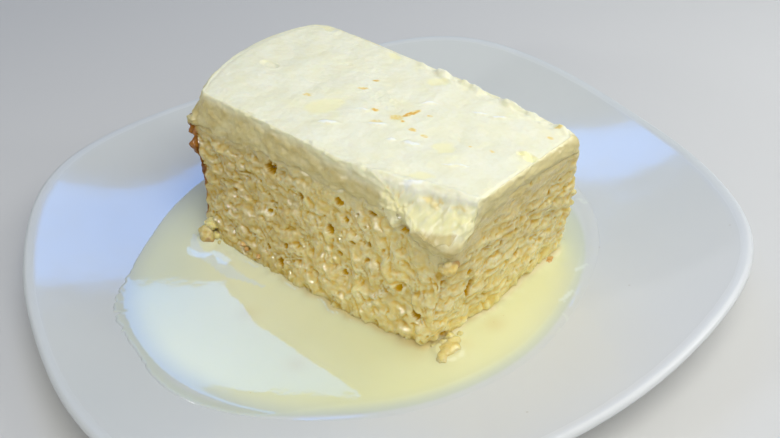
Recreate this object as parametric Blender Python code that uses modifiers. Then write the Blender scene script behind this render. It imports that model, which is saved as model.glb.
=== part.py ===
"""A slice of tres leches cake on its own plate, standing in the milk that has soaked out of it.

The plate lies flat on the XY plane with its centre on the Z axis and its sides along X and Y.
The slice stands on the plate's floor, turned by SLICE_YAW about Z. Lengths are in metres.
"""

import math

import bmesh
import bpy
from mathutils import Vector, noise

# Plate: a rounded square coupe on a foot ring
RIM_RADIUS = 0.110  # mean radius of the outer edge
RIM_SQUARE = 0.042  # share of it by which the four corners run out and the sides draw in
RIM_TIGHTEN = (0.0053, 0.002)  # the next two harmonics, which tighten the corners
RIM_HEIGHT = 0.0166
CORNER_LIFT = 0.0022  # the corners stand higher than the sides
WELL_RADIUS = 0.058
WELL_HEIGHT = 0.0050
COUPE_POWER = 1.7  # how late the wall turns up
WALL = 0.0032
FOOT_OUTER = 0.057
FOOT_INNER = 0.052
FOOT_RECESS = 0.0014
PLATE_STEPS = 72

# Milk standing in the plate
MILK_LEVEL = 0.00655  # over the plate's middle
MILK_TILT = (0.0192, -62.0)  # the plate stood a little askew: the milk's rise, and towards which angle
MILK_RADIUS = 0.0675
MILK_RUNS = [  # it runs further out here: by how much, at what angle, how wide
    (0.0124, -52.0, 86.0),
    (0.0053, -68.0, 19.0),
    (0.0051, -96.0, 12.0),
    (0.0027, 67.0, 22.0),
]
MILK_FILM = 0.0004
MILK_STEPS = 72

# Slice: a leaning block, given by its base and by how far each top corner stands off its base corner
SLICE_CENTRE = (0.0025, 0.0002)
SLICE_YAW = math.radians(20.3)
HALF_LENGTH = 0.04745
HALF_WIDTH = 0.02925
BASE_HEIGHT = 0.0053
TOP_HEIGHT = 0.0550
LEAN = {  # (end, side) of the slice: shift of the top corner along and across
    (-1, -1): (0.0002, 0.0095),
    (-1, 1): (-0.0020, 0.0046),
    (1, 1): (0.0118, -0.0070),
    (1, -1): (0.0092, 0.0057),
}
PAN_BULGE_TOP = 0.0092  # the end that lay against the pan is rounded out
PAN_BULGE_BASE = 0.0035
PAN_BULGE_FULL = 0.85  # how square the bulge's plan is at its fullest height
CORNER_RADIUS = {(-1, -1): 0.0018, (-1, 1): 0.0050, (1, 1): 0.0030, (1, -1): 0.0045}
BELLY = {  # (end, side): how far the upright edge swells out along and across, where, its rise and fall
    (-1, -1): (-0.0062, 0.0, 0.74, 1.5, 0.6),
    (1, 1): (0.0028, 0.0028, 0.50, 0.4, 8.0),
}
FAR_BOW = 0.0016  # the far side is bowed out by this much
BASE_TUCK = 0.0022  # the lowest edge draws in under the sides
SAG_NEAR = 0.0046  # how far the soaked base has spread under the near side
SAG_RIGHT = 0.0027  # and under the right end

# Cream layer over the sponge, as shares of the slice's height
CREAM_START = 0.81
CREAM_START_SLOPE = 0.05  # it is thicker at the pan end than at the cut end
CREAM_WAVE = 0.014
CREAM_TONGUE = 0.14  # how much lower it hangs at the broken front corner
TONGUE_REACH = 0.016
SLUMP = (0.0215, 0.0085, 0.0135)  # size of the broken front corner along, across and down
GAP = 0.0004

# Grid of the slice's surface
CELLS_LONG = 34
CELLS_WIDE = 20
SPONGE_ROWS = 14
CREAM_ROWS = 4

CRAG_SIZE = 0.0075
CRAG_DEPTH = 0.0011
SEED = Vector((3.7, 11.3, 5.9))

# Open pores of the sponge: face, place along it (-1 to 1), share of the height, width, height, depth
PORES = [
    ("long", -0.381, 0.699, 0.0046, 0.0042, 0.0046),
    ("long", -0.099, 0.636, 0.0022, 0.0036, 0.0030),
    ("long", 0.191, 0.519, 0.0036, 0.0030, 0.0030),
    ("long", 0.672, 0.740, 0.0048, 0.0032, 0.0040),
    ("long", 0.868, 0.257, 0.0030, 0.0030, 0.0030),
    ("long", -0.193, 0.152, 0.0026, 0.0036, 0.0030),
    ("short", -0.590, 0.363, 0.0032, 0.0056, 0.0034),
    ("short", 0.500, 0.674, 0.0034, 0.0022, 0.0030),
    ("short", -0.240, 0.546, 0.0032, 0.0020, 0.0030),
    ("short", 0.115, 0.349, 0.0026, 0.0034, 0.0028),
]

# Loose wet crumbs in the milk: place along and across the slice, half sizes
FRONT_CRUMB = ((0.0519, -0.0262), (0.0037, 0.0058, 0.0034))
SIDE_CRUMB = ((-0.0430, -0.0336), (0.0034, 0.0024, 0.0050))


def clear_scene():
    for obj in list(bpy.data.objects):
        bpy.data.objects.remove(obj, do_unlink=True)


def new_collection(name):
    collection = bpy.data.collections.new(name)
    bpy.context.scene.collection.children.link(collection)
    return collection


def principled(name, colour, roughness, coat=0.0):
    material = bpy.data.materials.new(name)
    material.use_nodes = True
    shader = material.node_tree.nodes["Principled BSDF"]
    shader.inputs["Base Color"].default_value = (*colour, 1.0)
    shader.inputs["Roughness"].default_value = roughness
    shader.inputs["Metallic"].default_value = 0.0
    shader.inputs["Coat Weight"].default_value = coat
    material.diffuse_color = (*colour, 1.0)
    return material


def face_outwards(bm):
    bmesh.ops.recalc_face_normals(bm, faces=bm.faces[:])
    if bm.calc_volume(signed=True) < 0:
        bmesh.ops.reverse_faces(bm, faces=bm.faces[:])


def object_from(bm, name, material, collection, smooth_angle=50):
    mesh = bpy.data.meshes.new(name)
    face_outwards(bm)
    bm.to_mesh(mesh)
    bm.free()
    mesh.materials.append(material)
    mesh.shade_smooth()
    mesh.set_sharp_from_angle(angle=math.radians(smooth_angle))
    obj = bpy.data.objects.new(name, mesh)
    collection.objects.link(obj)
    return obj


def ease(value):
    value = min(max(value, 0.0), 1.0)
    return value * value * (3 - 2 * value)


def rim_share(angle):
    """The outer edge's distance from the centre in this direction, over its mean."""
    turn = angle - math.pi / 4
    share = 1 + RIM_SQUARE * math.cos(4 * turn)
    for order, size in enumerate(RIM_TIGHTEN, start=2):
        share += size * math.cos(4 * order * turn)
    return share


def coupe(radius):
    """0 on the flat floor, rising to 1 at the rim."""
    return min(max((radius - WELL_RADIUS) / (RIM_RADIUS - WELL_RADIUS), 0.0), 1.0)


def plate_height(radius):
    rise = RIM_HEIGHT - WELL_HEIGHT
    return WELL_HEIGHT + rise * coupe(radius) ** COUPE_POWER


def squared(radius, height, angle):
    """A point of the turned plate, drawn out to the rounded square and lifted at the corners."""
    share = coupe(radius)
    reach = radius * (1 + share * (rim_share(angle) - 1))
    lift = CORNER_LIFT * math.cos(4 * (angle - math.pi / 4)) * share**2
    return Vector((reach * math.cos(angle), reach * math.sin(angle), height + lift))


def plate_surface(reach, angle):
    """Height of the plate's upper face at a plan distance from the centre."""
    radius = reach
    for _ in range(8):
        radius = reach / (1 + coupe(radius) * (rim_share(angle) - 1))
    lift = CORNER_LIFT * math.cos(4 * (angle - math.pi / 4)) * coupe(radius) ** 2
    return plate_height(radius) + lift


def turned(profile, steps, name):
    """The bmesh of a profile of (radius, height) turned about Z."""
    mesh = bpy.data.meshes.new(name)
    edges = [(i, i + 1) for i in range(len(profile) - 1)]
    mesh.from_pydata([(r, 0.0, z) for r, z in profile], edges, [])
    obj = bpy.data.objects.new(name, mesh)
    bpy.context.scene.collection.objects.link(obj)
    screw = obj.modifiers.new("Turn", "SCREW")
    screw.axis = "Z"
    screw.steps = screw.render_steps = steps
    screw.use_merge_vertices = True
    screw.merge_threshold = 0.0001
    graph = bpy.context.evaluated_depsgraph_get()
    bm = bmesh.new()
    bm.from_mesh(bpy.data.meshes.new_from_object(obj.evaluated_get(graph)))
    bpy.data.objects.remove(obj, do_unlink=True)
    bmesh.ops.remove_doubles(bm, verts=bm.verts[:], dist=0.00002)
    return bm


def make_plate(material, collection):
    lip = WALL / 2
    profile = [(0.0, WELL_HEIGHT), (0.030, WELL_HEIGHT), (WELL_RADIUS, WELL_HEIGHT)]
    turns = 7
    for i in range(1, turns + 1):
        radius = WELL_RADIUS + (RIM_RADIUS - lip - WELL_RADIUS) * i / turns
        profile.append((radius, plate_height(radius)))
    centre = Vector((RIM_RADIUS - lip, plate_height(RIM_RADIUS - lip) - lip))
    for degrees in (50, 10, -30, -70):
        turn = math.radians(degrees)
        profile.append((centre.x + lip * math.cos(turn), centre.y + lip * math.sin(turn)))
    for i in range(turns - 1, 0, -1):
        radius = WELL_RADIUS + (RIM_RADIUS - lip - WELL_RADIUS) * i / turns
        profile.append((radius, plate_height(radius) - WALL))
    profile += [
        (FOOT_OUTER + 0.001, WELL_HEIGHT - WALL - 0.0002),
        (FOOT_OUTER, 0.0),
        (FOOT_INNER, 0.0),
        (FOOT_INNER - 0.001, FOOT_RECESS),
        (0.0, FOOT_RECESS),
    ]
    bm = turned(profile, PLATE_STEPS, "plate profile")
    for vert in bm.verts:
        radius = math.hypot(vert.co.x, vert.co.y)
        if radius > WELL_RADIUS:
            vert.co = squared(radius, vert.co.z, math.atan2(vert.co.y, vert.co.x))
    return object_from(bm, "plate", material, collection, 40)


def lobe(angle, size, at, width):
    """A smooth swelling of an outline round one direction, both angles in degrees."""
    off = (math.degrees(angle) - at + 180) % 360 - 180
    return size * math.exp(-((off / width) ** 2))


def milk_reach(angle):
    wave = 0.0007 * noise.noise(Vector((3 * math.cos(angle), 3 * math.sin(angle), 0)) + SEED)
    return MILK_RADIUS + sum(lobe(angle, *run) for run in MILK_RUNS) + wave


def milk_level(reach, angle):
    slope, towards = MILK_TILT
    return MILK_LEVEL + slope * reach * math.cos(angle - math.radians(towards))


def make_milk(material, collection, cutters):
    """A level pool with a thin edge, cut away where the slice and the crumbs stand in it."""
    shares = (0.0, 0.3, 0.5, 0.7, 0.84, 0.94, 1.0)
    profile = [(MILK_RADIUS * s, 0.001) for s in shares]
    profile += [(MILK_RADIUS * s, 0.0) for s in reversed(shares[:-1])]
    bm = turned(profile, MILK_STEPS, "milk profile")
    for vert in bm.verts:
        upper = vert.co.z > 0.0005
        angle = math.atan2(vert.co.y, vert.co.x)
        reach = math.hypot(vert.co.x, vert.co.y) / MILK_RADIUS * milk_reach(angle)
        bed = plate_surface(reach, angle) + 0.0003
        height = max(milk_level(reach, angle), bed + MILK_FILM) if upper else bed
        vert.co = Vector((reach * math.cos(angle), reach * math.sin(angle), height))
    milk = object_from(bm, "milk", material, collection)
    cut = milk.modifiers.new("Room for the slice", "BOOLEAN")
    cut.operation = "DIFFERENCE"
    cut.operand_type = "COLLECTION"
    cut.collection = cutters
    cut.solver = "EXACT"
    return milk


def in_plate(along, across, height):
    """A point given along and across the slice, in the plate's frame."""
    c, s = math.cos(SLICE_YAW), math.sin(SLICE_YAW)
    return Vector(
        (
            SLICE_CENTRE[0] + along * c - across * s,
            SLICE_CENTRE[1] + along * s + across * c,
            height,
        )
    )


def rounded(along, across, end, side):
    """Plan position with the square corner turned into a quarter circle."""
    radius = CORNER_RADIUS[(end, side)]
    over = Vector(
        (
            max(abs(along) - (HALF_LENGTH - radius), 0.0),
            max(abs(across) - (HALF_WIDTH - radius), 0.0),
        )
    )
    if over.length > 0:
        kept = over * (max(over) / over.length)
        along -= math.copysign(over.x - kept.x, along)
        across -= math.copysign(over.y - kept.y, across)
    return along, across


def swell(h, peak, low, high):
    """0 at the base and the top, 1 at the peak between them."""
    up = min(max(h / peak, 0.0), 1.0) ** low
    return up * (1 - min(max((h - peak) / (1 - peak), 0.0), 1.0) ** high)


def sag(a, b, h):
    """How far the soaked base has spread outwards, along and across."""
    low = max(1 - h, 0.0) ** 1.8
    held = 1 - 0.6 * ease((a - 0.45) / 0.55) - 0.65 * ease((-a - 0.72) / 0.28)
    right = SAG_RIGHT * max(a, 0.0) ** 2 * ease((b + 0.95) / 0.8)
    return right * low, -SAG_NEAR * held * (1 - b) / 2 * low


def block_point(a, b, h):
    """A point of the whole slice: a along it, b across it (-1 to 1), h up it (0 to 1)."""
    end, side = (1 if a > 0 else -1), (1 if b > 0 else -1)
    along, across = rounded(a * HALF_LENGTH, b * HALF_WIDTH, end, side)
    for (e, s), (shift_along, shift_across) in LEAN.items():
        share = (1 + e * a) * (1 + s * b) / 4 * h
        along += shift_along * share
        across += shift_across * share
    for (e, s), (out_along, out_across, peak, low, high) in BELLY.items():
        share = (1 + e * a) * (1 + s * b) / 4 * swell(h, peak, low, high)
        along += out_along * share
        across += out_across * share
    across += FAR_BOW * (1 - a * a) * (1 + b) / 2 * ease(h / 0.5)
    bulge = PAN_BULGE_BASE + (PAN_BULGE_TOP - PAN_BULGE_BASE) * ease(h / 0.8)
    full = PAN_BULGE_FULL * swell(h, 0.78, 1.5, 1.0)
    along -= bulge * ((1 - full) * (1 - b * b) + full * (1 - abs(b) ** 7)) * max(-a, 0.0) ** 4
    spread_along, spread_across = sag(a, b, h)
    tuck = BASE_TUCK * max(1 - h / 0.09, 0.0) ** 2
    along += spread_along - tuck * a * abs(a)
    across += spread_across - tuck * b * abs(b)
    return in_plate(along, across, BASE_HEIGHT + (TOP_HEIGHT - BASE_HEIGHT) * h)


def cream_start(a, b):
    """Share of the height at which sponge turns into cream, flat inside and wavy at the faces."""
    inside = min((1 - abs(a)) * HALF_LENGTH, (1 - abs(b)) * HALF_WIDTH)
    edge = max(1 - inside / 0.006, 0.0)
    wave = CREAM_WAVE * noise.noise(Vector((a * 5, b * 3, 0)) + SEED)
    level = CREAM_START + edge * (CREAM_START_SLOPE * a * abs(a) + wave)
    off = math.hypot((1 - a) * HALF_LENGTH, (1 + b) * HALF_WIDTH)
    return level - CREAM_TONGUE * ease(1 - off / TONGUE_REACH)


def outward(a, b):
    """Level direction out of the slice at a point of its sides."""
    end = math.copysign(1, a) if abs(a) > 0.999 else 0.0
    side = math.copysign(1, b) if abs(b) > 0.999 else 0.0
    return (in_plate(end, side, 0) - in_plate(0, 0, 0)).normalized()


def seam_push(a, b):
    """How far the line between sponge and cream stands out of the side."""
    return 0.0003 * noise.noise(Vector((a * 6, b * 4, 2)) + SEED)


def slumped(a, b, h):
    """How far a point lies inside the broken front corner: 1 at the corner, 0 at its edge."""
    share = (1 - a) * HALF_LENGTH / SLUMP[0] + (1 + b) * HALF_WIDTH / SLUMP[1]
    share += (1 - h) * (TOP_HEIGHT - BASE_HEIGHT) / SLUMP[2]
    return max(1 - share, 0.0)


def gridded_block(rows):
    """A cube cut by planes into cells, from -1 to 1 each way."""
    bm = bmesh.new()
    bmesh.ops.create_cube(bm, size=2.0)
    for axis, cells in enumerate((CELLS_LONG, CELLS_WIDE, rows)):
        normal = Vector([float(i == axis) for i in range(3)])
        for i in range(1, cells):
            geometry = bm.verts[:] + bm.edges[:] + bm.faces[:]
            place = normal * (2 * i / cells - 1)
            bmesh.ops.bisect_plane(bm, geom=geometry, plane_co=place, plane_no=normal)
    return bm


def clear_inner_faces(bm, upward, is_flat):
    """Joins the flat inner cells of the top or of the underside into one face."""
    flat = [
        face
        for face in bm.faces
        if face.normal.z * upward > 0.5 and all(is_flat(v.co.x, v.co.y) for v in face.verts)
    ]
    bmesh.ops.dissolve_faces(bm, faces=flat)


def split_seam(bm, upward):
    """Cuts the seam's cells along their shorter diagonal, so that both sides of it have one shape."""
    bm.normal_update()
    cells = [f for f in bm.faces if f.normal.z * upward > 0.3 and len(f.verts) == 4]
    bmesh.ops.triangulate(bm, faces=cells, quad_method="SHORT_EDGE")


def crags(point, depth, size):
    """Rough torn crumb: lumps with long level streaks."""
    lumps = noise.fractal(point / size + SEED, 0.9, 2.1, 3)
    level = Vector((point.x / 0.016, point.y / 0.016, point.z / 0.0048))
    return depth * (0.75 * lumps + 0.5 * noise.noise(level + SEED))


def make_sponge(material, collection):
    bm = gridded_block(SPONGE_ROWS)
    bm.normal_update()
    clear_inner_faces(bm, 1, lambda a, b: cream_start(a, b) == CREAM_START)
    clear_inner_faces(bm, -1, lambda a, b: True)
    sides = []
    for vert in bm.verts:
        a, b, c = vert.co
        share = (c + 1) / 2
        if max(abs(a), abs(b)) > 0.999:
            sides.append((vert, a, b, share))
        vert.co = block_point(a, b, share * cream_start(a, b))
    for vert, a, b, share in sides:
        rough = 0.45 if a < -0.999 else 1.0
        deep = crags(vert.co, CRAG_DEPTH * rough, CRAG_SIZE) * min(share / 0.12, 1.0)
        seam = max(1 - (1 - share) / 0.1, 0.0)
        vert.co += outward(a, b) * (deep * (1 - seam) + seam_push(a, b) * seam)
    split_seam(bm, 1)
    return object_from(bm, "sponge", material, collection)


def make_cream(material, collection):
    bm = gridded_block(CREAM_ROWS)
    bm.normal_update()
    clear_inner_faces(bm, -1, lambda a, b: cream_start(a, b) == CREAM_START)
    lift = GAP / (TOP_HEIGHT - BASE_HEIGHT)
    placed = []
    for vert in bm.verts:
        a, b, c = vert.co
        share = (c + 1) / 2
        start = cream_start(a, b) + lift
        h = start + share * (1 - start)
        vert.co = block_point(a, b, h)
        placed.append((vert, a, b, h, share))
    split_seam(bm, -1)
    along, across = in_plate(1, 0, 0) - in_plate(0, 0, 0), in_plate(0, 1, 0) - in_plate(0, 0, 0)
    for vert, a, b, h, share in placed:
        smears = noise.fractal(Vector((a * 7, b * 4.5, h * 3)) + SEED, 1.0, 2.0, 3)
        if share > 0.99:
            vert.co.z += 0.0004 * smears - 0.0004
        if max(abs(a), abs(b)) > 0.999:
            seam = max(1 - share / 0.25, 0.0)
            own = 0.0003 + 0.0005 * smears
            vert.co += outward(a, b) * (own * (1 - seam) + seam_push(a, b) * seam)
        fall = slumped(a, b, h)
        if fall > 0:
            lump = 1 + 0.25 * noise.noise(vert.co * 260 + SEED)
            vert.co -= (along * 0.0064 - across * 0.0030 + Vector((0, 0, 0.0052))) * fall * lump
    return object_from(bm, "cream", material, collection)


def pore_cutter(number, face, place, h, width, height, depth, collection):
    """A lumpy egg set half into a cut face."""
    bm = bmesh.new()
    bmesh.ops.create_icosphere(bm, subdivisions=2, radius=0.5)
    if face == "long":
        centre, out = block_point(place, -1, h), in_plate(0, -1, 0) - in_plate(0, 0, 0)
    else:
        centre, out = block_point(1, place, h), in_plate(1, 0, 0) - in_plate(0, 0, 0)
    across = Vector((0, 0, 1)).cross(out)
    for vert in bm.verts:
        lump = 1 + 0.22 * noise.noise(vert.co * 3 + SEED * number)
        p = vert.co * lump
        vert.co = centre + across * p.x * width + Vector((0, 0, p.z * height)) - out * p.y * depth * 2
    face_outwards(bm)
    mesh = bpy.data.meshes.new(f"pore {number}")
    bm.to_mesh(mesh)
    bm.free()
    cutter = bpy.data.objects.new(f"pore {number}", mesh)
    collection.objects.link(cutter)
    as_cutter(cutter)


def as_cutter(obj):
    obj.hide_render = True
    obj.display_type = "WIRE"


def room_for_slice(collection):
    """The slice's foot with a little room all round, for the milk to be cut by."""
    bm = bmesh.new()
    bmesh.ops.create_cube(bm, size=2.0)
    for axis, cells in ((0, 16), (1, 10)):
        normal = Vector((float(axis == 0), float(axis == 1), 0))
        for i in range(1, cells):
            geometry = bm.verts[:] + bm.edges[:] + bm.faces[:]
            place = normal * (2 * i / cells - 1)
            bmesh.ops.bisect_plane(bm, geom=geometry, plane_co=place, plane_no=normal)
    bmesh.ops.dissolve_faces(bm, faces=[f for f in bm.faces if f.normal.z > 0.5])
    bmesh.ops.dissolve_faces(bm, faces=[f for f in bm.faces if f.normal.z < -0.5])
    centre = in_plate(0, 0, 0)
    for vert in bm.verts:
        height = 0.003 if vert.co.z < 0 else 0.012
        foot = block_point(vert.co.x, vert.co.y, 0.06)
        away = (foot - centre) * Vector((1, 1, 0))
        vert.co = foot + away.normalized() * 0.0009
        vert.co.z = height
    face_outwards(bm)
    mesh = bpy.data.meshes.new("room for slice")
    bm.to_mesh(mesh)
    bm.free()
    room = bpy.data.objects.new("room for slice", mesh)
    collection.objects.link(room)
    as_cutter(room)


def crumb_mesh(place, half, grow, detail):
    """A torn lump standing on the plate's floor."""
    bm = bmesh.new()
    bmesh.ops.create_icosphere(bm, subdivisions=detail, radius=1.0)
    for vert in bm.verts:
        lump = 1 + 0.2 * noise.noise(vert.co * 1.7 + SEED + Vector(half) * 900)
        p = vert.co * lump
        vert.co = in_plate(
            place[0] + p.x * (half[0] + grow),
            place[1] + p.y * (half[1] + grow),
            BASE_HEIGHT + half[2] * 0.45 + p.z * (half[2] + grow),
        )
        bed = plate_surface(vert.co.xy.length, math.atan2(vert.co.y, vert.co.x)) + 0.0004
        vert.co.z = max(vert.co.z, bed - (0.002 if grow else 0.0))
    return bm


def make_crumb(name, place, half, material, collection, cutters):
    crumb = object_from(crumb_mesh(place, half, 0.0, 3), name, material, collection)
    room = object_from(crumb_mesh(place, half, 0.0007, 2), "room for " + name, material, cutters)
    as_cutter(room)
    return crumb


def main():
    clear_scene()
    parts = new_collection("tres leches slice")
    rooms = new_collection("room cut from the milk")
    pores = new_collection("pores cut from the sponge")
    rooms.hide_render = pores.hide_render = True

    glazed = principled("glazed white", (0.72, 0.73, 0.74), 0.12, coat=0.6)
    milk = principled("thin sweet milk", (0.80, 0.76, 0.52), 0.10)
    crumb = principled("soaked sponge", (0.68, 0.58, 0.30), 0.45)
    whipped = principled("whipped cream", (0.86, 0.85, 0.72), 0.42)
    soaked = principled("soaked crumb", (0.72, 0.60, 0.26), 0.35)

    make_plate(glazed, parts)
    room_for_slice(rooms)
    make_crumb("front_crumb", *FRONT_CRUMB, soaked, parts, rooms)
    make_crumb("side_crumb", *SIDE_CRUMB, soaked, parts, rooms)
    make_milk(milk, parts, rooms)
    sponge = make_sponge(crumb, parts)
    for number, pore in enumerate(PORES, start=1):
        pore_cutter(number, *pore, pores)
    cut = sponge.modifiers.new("Open pores", "BOOLEAN")
    cut.operation = "DIFFERENCE"
    cut.operand_type = "COLLECTION"
    cut.collection = pores
    cut.solver = "EXACT"
    make_cream(whipped, parts)


main()
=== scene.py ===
"""Looks of a slice of tres leches cake on its plate, standing in the milk that has soaked out of it.

Everything is in metres in the plate's frame, as in the CAD part. Fine relief is worked out in millimetres.
The slice is given by a along it, b across it (both -1 to 1) and h up it (0 to 1).
"""

import math

import bmesh
import bpy
import numpy as np
from mathutils import Matrix, Vector

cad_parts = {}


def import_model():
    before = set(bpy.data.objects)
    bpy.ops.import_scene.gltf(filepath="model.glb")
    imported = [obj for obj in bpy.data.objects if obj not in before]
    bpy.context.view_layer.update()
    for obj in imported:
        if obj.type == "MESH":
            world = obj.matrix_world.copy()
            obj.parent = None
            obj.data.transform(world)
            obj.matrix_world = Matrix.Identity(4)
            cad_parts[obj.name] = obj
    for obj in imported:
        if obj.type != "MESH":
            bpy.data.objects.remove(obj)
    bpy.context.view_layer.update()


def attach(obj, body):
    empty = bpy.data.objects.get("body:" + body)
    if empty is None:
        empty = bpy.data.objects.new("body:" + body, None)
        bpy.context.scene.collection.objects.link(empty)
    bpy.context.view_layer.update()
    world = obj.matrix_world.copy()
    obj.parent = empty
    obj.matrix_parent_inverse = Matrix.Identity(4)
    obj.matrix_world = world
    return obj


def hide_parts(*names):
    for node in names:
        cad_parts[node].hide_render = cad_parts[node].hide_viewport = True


MM = 0.001

# Camera: degrees, the place it looks at, distance, and lens and film in mm
CAMERA_AZIMUTH, CAMERA_ELEVATION, CAMERA_ROLL = -23.9, 37.29, -6.5
CAMERA_AIM, CAMERA_DISTANCE = (-0.01048, 0.01211, 0.0), 0.3276
CAMERA_LENS, CAMERA_FILM = 44.68, 36

# Lights: azimuth and elevation in degrees, distance, width, height, colour and brightness
WINDOW = (145.0, 0.0, 1.2, 0.99, 0.30, (0.07, 0.33, 1.0), 5.0)
WINDOW_ASIDE, WINDOW_UP = 0.346, 1.195  # how far it stands to the left, seen from the plate, and how high
LIGHTS = {
    "ceiling": (6.0, 63.0, 0.90, 0.70, 0.70, (1.0, 0.985, 0.92), 3.05),
    "lamp at the left": (-96.0, 24.0, 1.1, 0.07, 0.07, (1.0, 1.0, 0.97), 70.0),
    "lamp at the right": (52.0, 24.0, 1.1, 0.06, 0.06, (1.0, 1.0, 0.97), 50.0),
    "room": (-10.0, 33.0, 0.40, 0.25, 0.20, (1.0, 0.98, 0.92), 1.0),
    "far wall": (76.0, 42.0, 0.40, 0.25, 0.20, (0.98, 1.0, 1.0), 2.5),
}
# Two more that only make wet places glint
GLINTS = {
    "glint at the left": (-92.0, 27.0, 1.1, 0.14, 0.14, (1, 1, 1), 130.0),
    "glint at the right": (50.0, 27.0, 1.1, 0.14, 0.14, (1, 1, 1), 130.0),
}
SKY_COLOUR, SKY_STRENGTH = (0.92, 0.95, 1.0, 1.0), 0.25

# Plate: a rounded square coupe on a foot ring
RIM_RADIUS = 0.110
RIM_SQUARE = 0.042
RIM_TIGHTEN = (0.0053, 0.002)
RIM_HEIGHT = 0.0166
CORNER_LIFT = 0.0022
WELL_RADIUS = 0.058
WELL_HEIGHT = 0.0050
COUPE_POWER = 1.7
WALL = 0.0032
FOOT_OUTER = 0.057
FOOT_INNER = 0.052
FOOT_RECESS = 0.0014

# Milk standing in the plate
MILK_LEVEL = 0.00655
MILK_TILT = (0.0192, -62.0)  # the plate stands a little askew: the milk's rise, and towards which angle
MILK_RADIUS = 0.0675
MILK_RUNS = [(0.0124, -52.0, 86.0), (0.0053, -68.0, 19.0), (0.0051, -96.0, 12.0), (0.0027, 67.0, 22.0)]
MILK_FILM = 0.0004
MILK_UNDER_SLICE = 0.0036

# A painted reflection of the window, a pale streak on the milk past the near left foot: place and half
# width along its line
MILK_REFLECTION_STREAK = [
    (-0.0312, -0.0495, 0.0004),
    (-0.0259, -0.0510, 0.0010),
    (-0.0211, -0.0512, 0.0013),
    (-0.0177, -0.0497, 0.0013),
    (-0.0143, -0.0482, 0.0014),
    (-0.0100, -0.0470, 0.0016),
    (-0.0054, -0.0460, 0.0016),
    (-0.0024, -0.0442, 0.0010),
    (0.0019, -0.0418, 0.0006),
    (0.0062, -0.0396, 0.0003),
]

# Short painted glints of the window near its right edge: both ends, half width and strength
MILK_EDGE_GLINTS = [
    ((0.0596, 0.0320), (0.0581, 0.0367), 0.0008, 0.60),
    ((0.0510, 0.0437), (0.0506, 0.0473), 0.0008, 0.50),
    ((0.0647, 0.0291), (0.0682, 0.0285), 0.0006, 0.45),
    ((0.0709, 0.0225), (0.0691, 0.0248), 0.0006, 0.45),
    ((0.0227, 0.0655), (0.0257, 0.0660), 0.0008, 0.45),
]

# Faint browned patches on it: place, size and strength
MILK_STAINS = [
    ((0.0578, 0.0103), 0.0030, 0.22),
    ((0.0150, -0.0480), 0.0034, 0.14),
    ((0.0420, -0.0440), 0.0034, 0.14),
    ((0.0605, -0.0020), 0.0030, 0.16),
    ((0.0612, -0.0070), 0.0052, 0.20),
    ((0.0560, -0.0130), 0.0040, 0.18),
]

# Slice: a leaning block. Each corner is named by its end along (-1 left, 1 right)
# and its side (-1 near, 1 far)
SLICE_CENTRE = (0.0025, 0.0002)
SLICE_YAW = math.radians(20.3)
HALF_LENGTH = 0.04745
HALF_WIDTH = 0.02925
BASE_HEIGHT = 0.0053
TOP_HEIGHT = 0.0550
HEIGHT = TOP_HEIGHT - BASE_HEIGHT
LEAN = {
    (-1, -1): (0.0002, 0.0095),
    (-1, 1): (-0.0020, 0.0046),
    (1, 1): (0.0118, -0.0070),
    (1, -1): (0.0092, 0.0057),
}
PAN_BULGE_TOP = 0.0092
PAN_BULGE_BASE = 0.0035
PAN_BULGE_FULL = 0.85  # how square the bulge is in plan at its fullest height
CORNER_RADIUS = {(-1, -1): 0.0018, (-1, 1): 0.0050, (1, 1): 0.0030, (1, -1): 0.0045}
# How far an upright edge swells out along and across, at what height, and how fast it gives below and above
BELLY = {
    (-1, -1): (-0.0062, 0.0, 0.74, 1.5, 0.6),
    (1, 1): (0.0028, 0.0028, 0.50, 0.4, 8.0),
}
FAR_BOW = 0.0016
BASE_TUCK = 0.0022
SAG_NEAR = 0.0046  # how far the soaked base has spread at the near side, and at the right end
SAG_RIGHT = 0.0027

# Cream layer
CREAM_START = 0.81
CREAM_START_SLOPE = 0.05
CREAM_TONGUE = 0.14
TONGUE_REACH = 0.016

# Loose wet crumbs in the milk: place along and across the slice, half sizes
FRONT_CRUMB = ((0.0519, -0.0262), (0.0037, 0.0058, 0.0034))
SIDE_CRUMB = ((-0.0430, -0.0336), (0.0034, 0.0024, 0.0050))

# A browned scrap stuck to the front corner: place, half sizes and height
CHIP = ((0.0524, -0.0238), (0.0026, 0.0031, 0.0022))
CHIP_HEIGHT = 0.0352
FAR_BIT = ((0.0514, 0.0222), (0.0013, 0.0026, 0.0014))

# Small torn bits round the foot, along and across the slice, with height of the middle and radius
WET_BITS = [
    (0.0458, -0.0212, 0.0074, 0.0015),
    (0.0470, -0.0238, 0.0073, 0.0017),
    (0.0476, -0.0268, 0.0070, 0.0014),
    (0.0494, -0.0222, 0.0074, 0.0020),
    (0.0482, -0.0206, 0.0072, 0.0014),
    (0.0488, -0.0248, 0.0076, 0.0016),
    (0.0474, -0.0190, 0.0071, 0.0010),
    (0.0500, -0.0192, 0.0072, 0.0011),
    (-0.0430, -0.0308, 0.0118, 0.0027),
    (-0.0444, -0.0314, 0.0090, 0.0025),
    (-0.0404, -0.0318, 0.0086, 0.0018),
    (-0.0378, -0.0322, 0.0076, 0.0012),
]
BROWNED_BITS = [
    (-0.0264, -0.0315, 0.0116, 0.0011),
    (-0.0250, -0.0319, 0.0106, 0.0009),
    (-0.0188, -0.0321, 0.0108, 0.0011),
]

# Height in mm of the crumb's coarse and fine lumps, and depth of the slits between them
COARSE_LUMPS = 1.15
FINE_LUMPS = 0.24
SLIT_DEPTH = 0.85

# On the near face, an orange stain under the front corner and a drop of cream:
# place, share of the height, half sizes in mm
CORNER_STAIN = (0.965, 0.565, 1.9, 1.9)
CREAM_DROP = (-0.117, 0.56, 2.2, 2.0)

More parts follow.
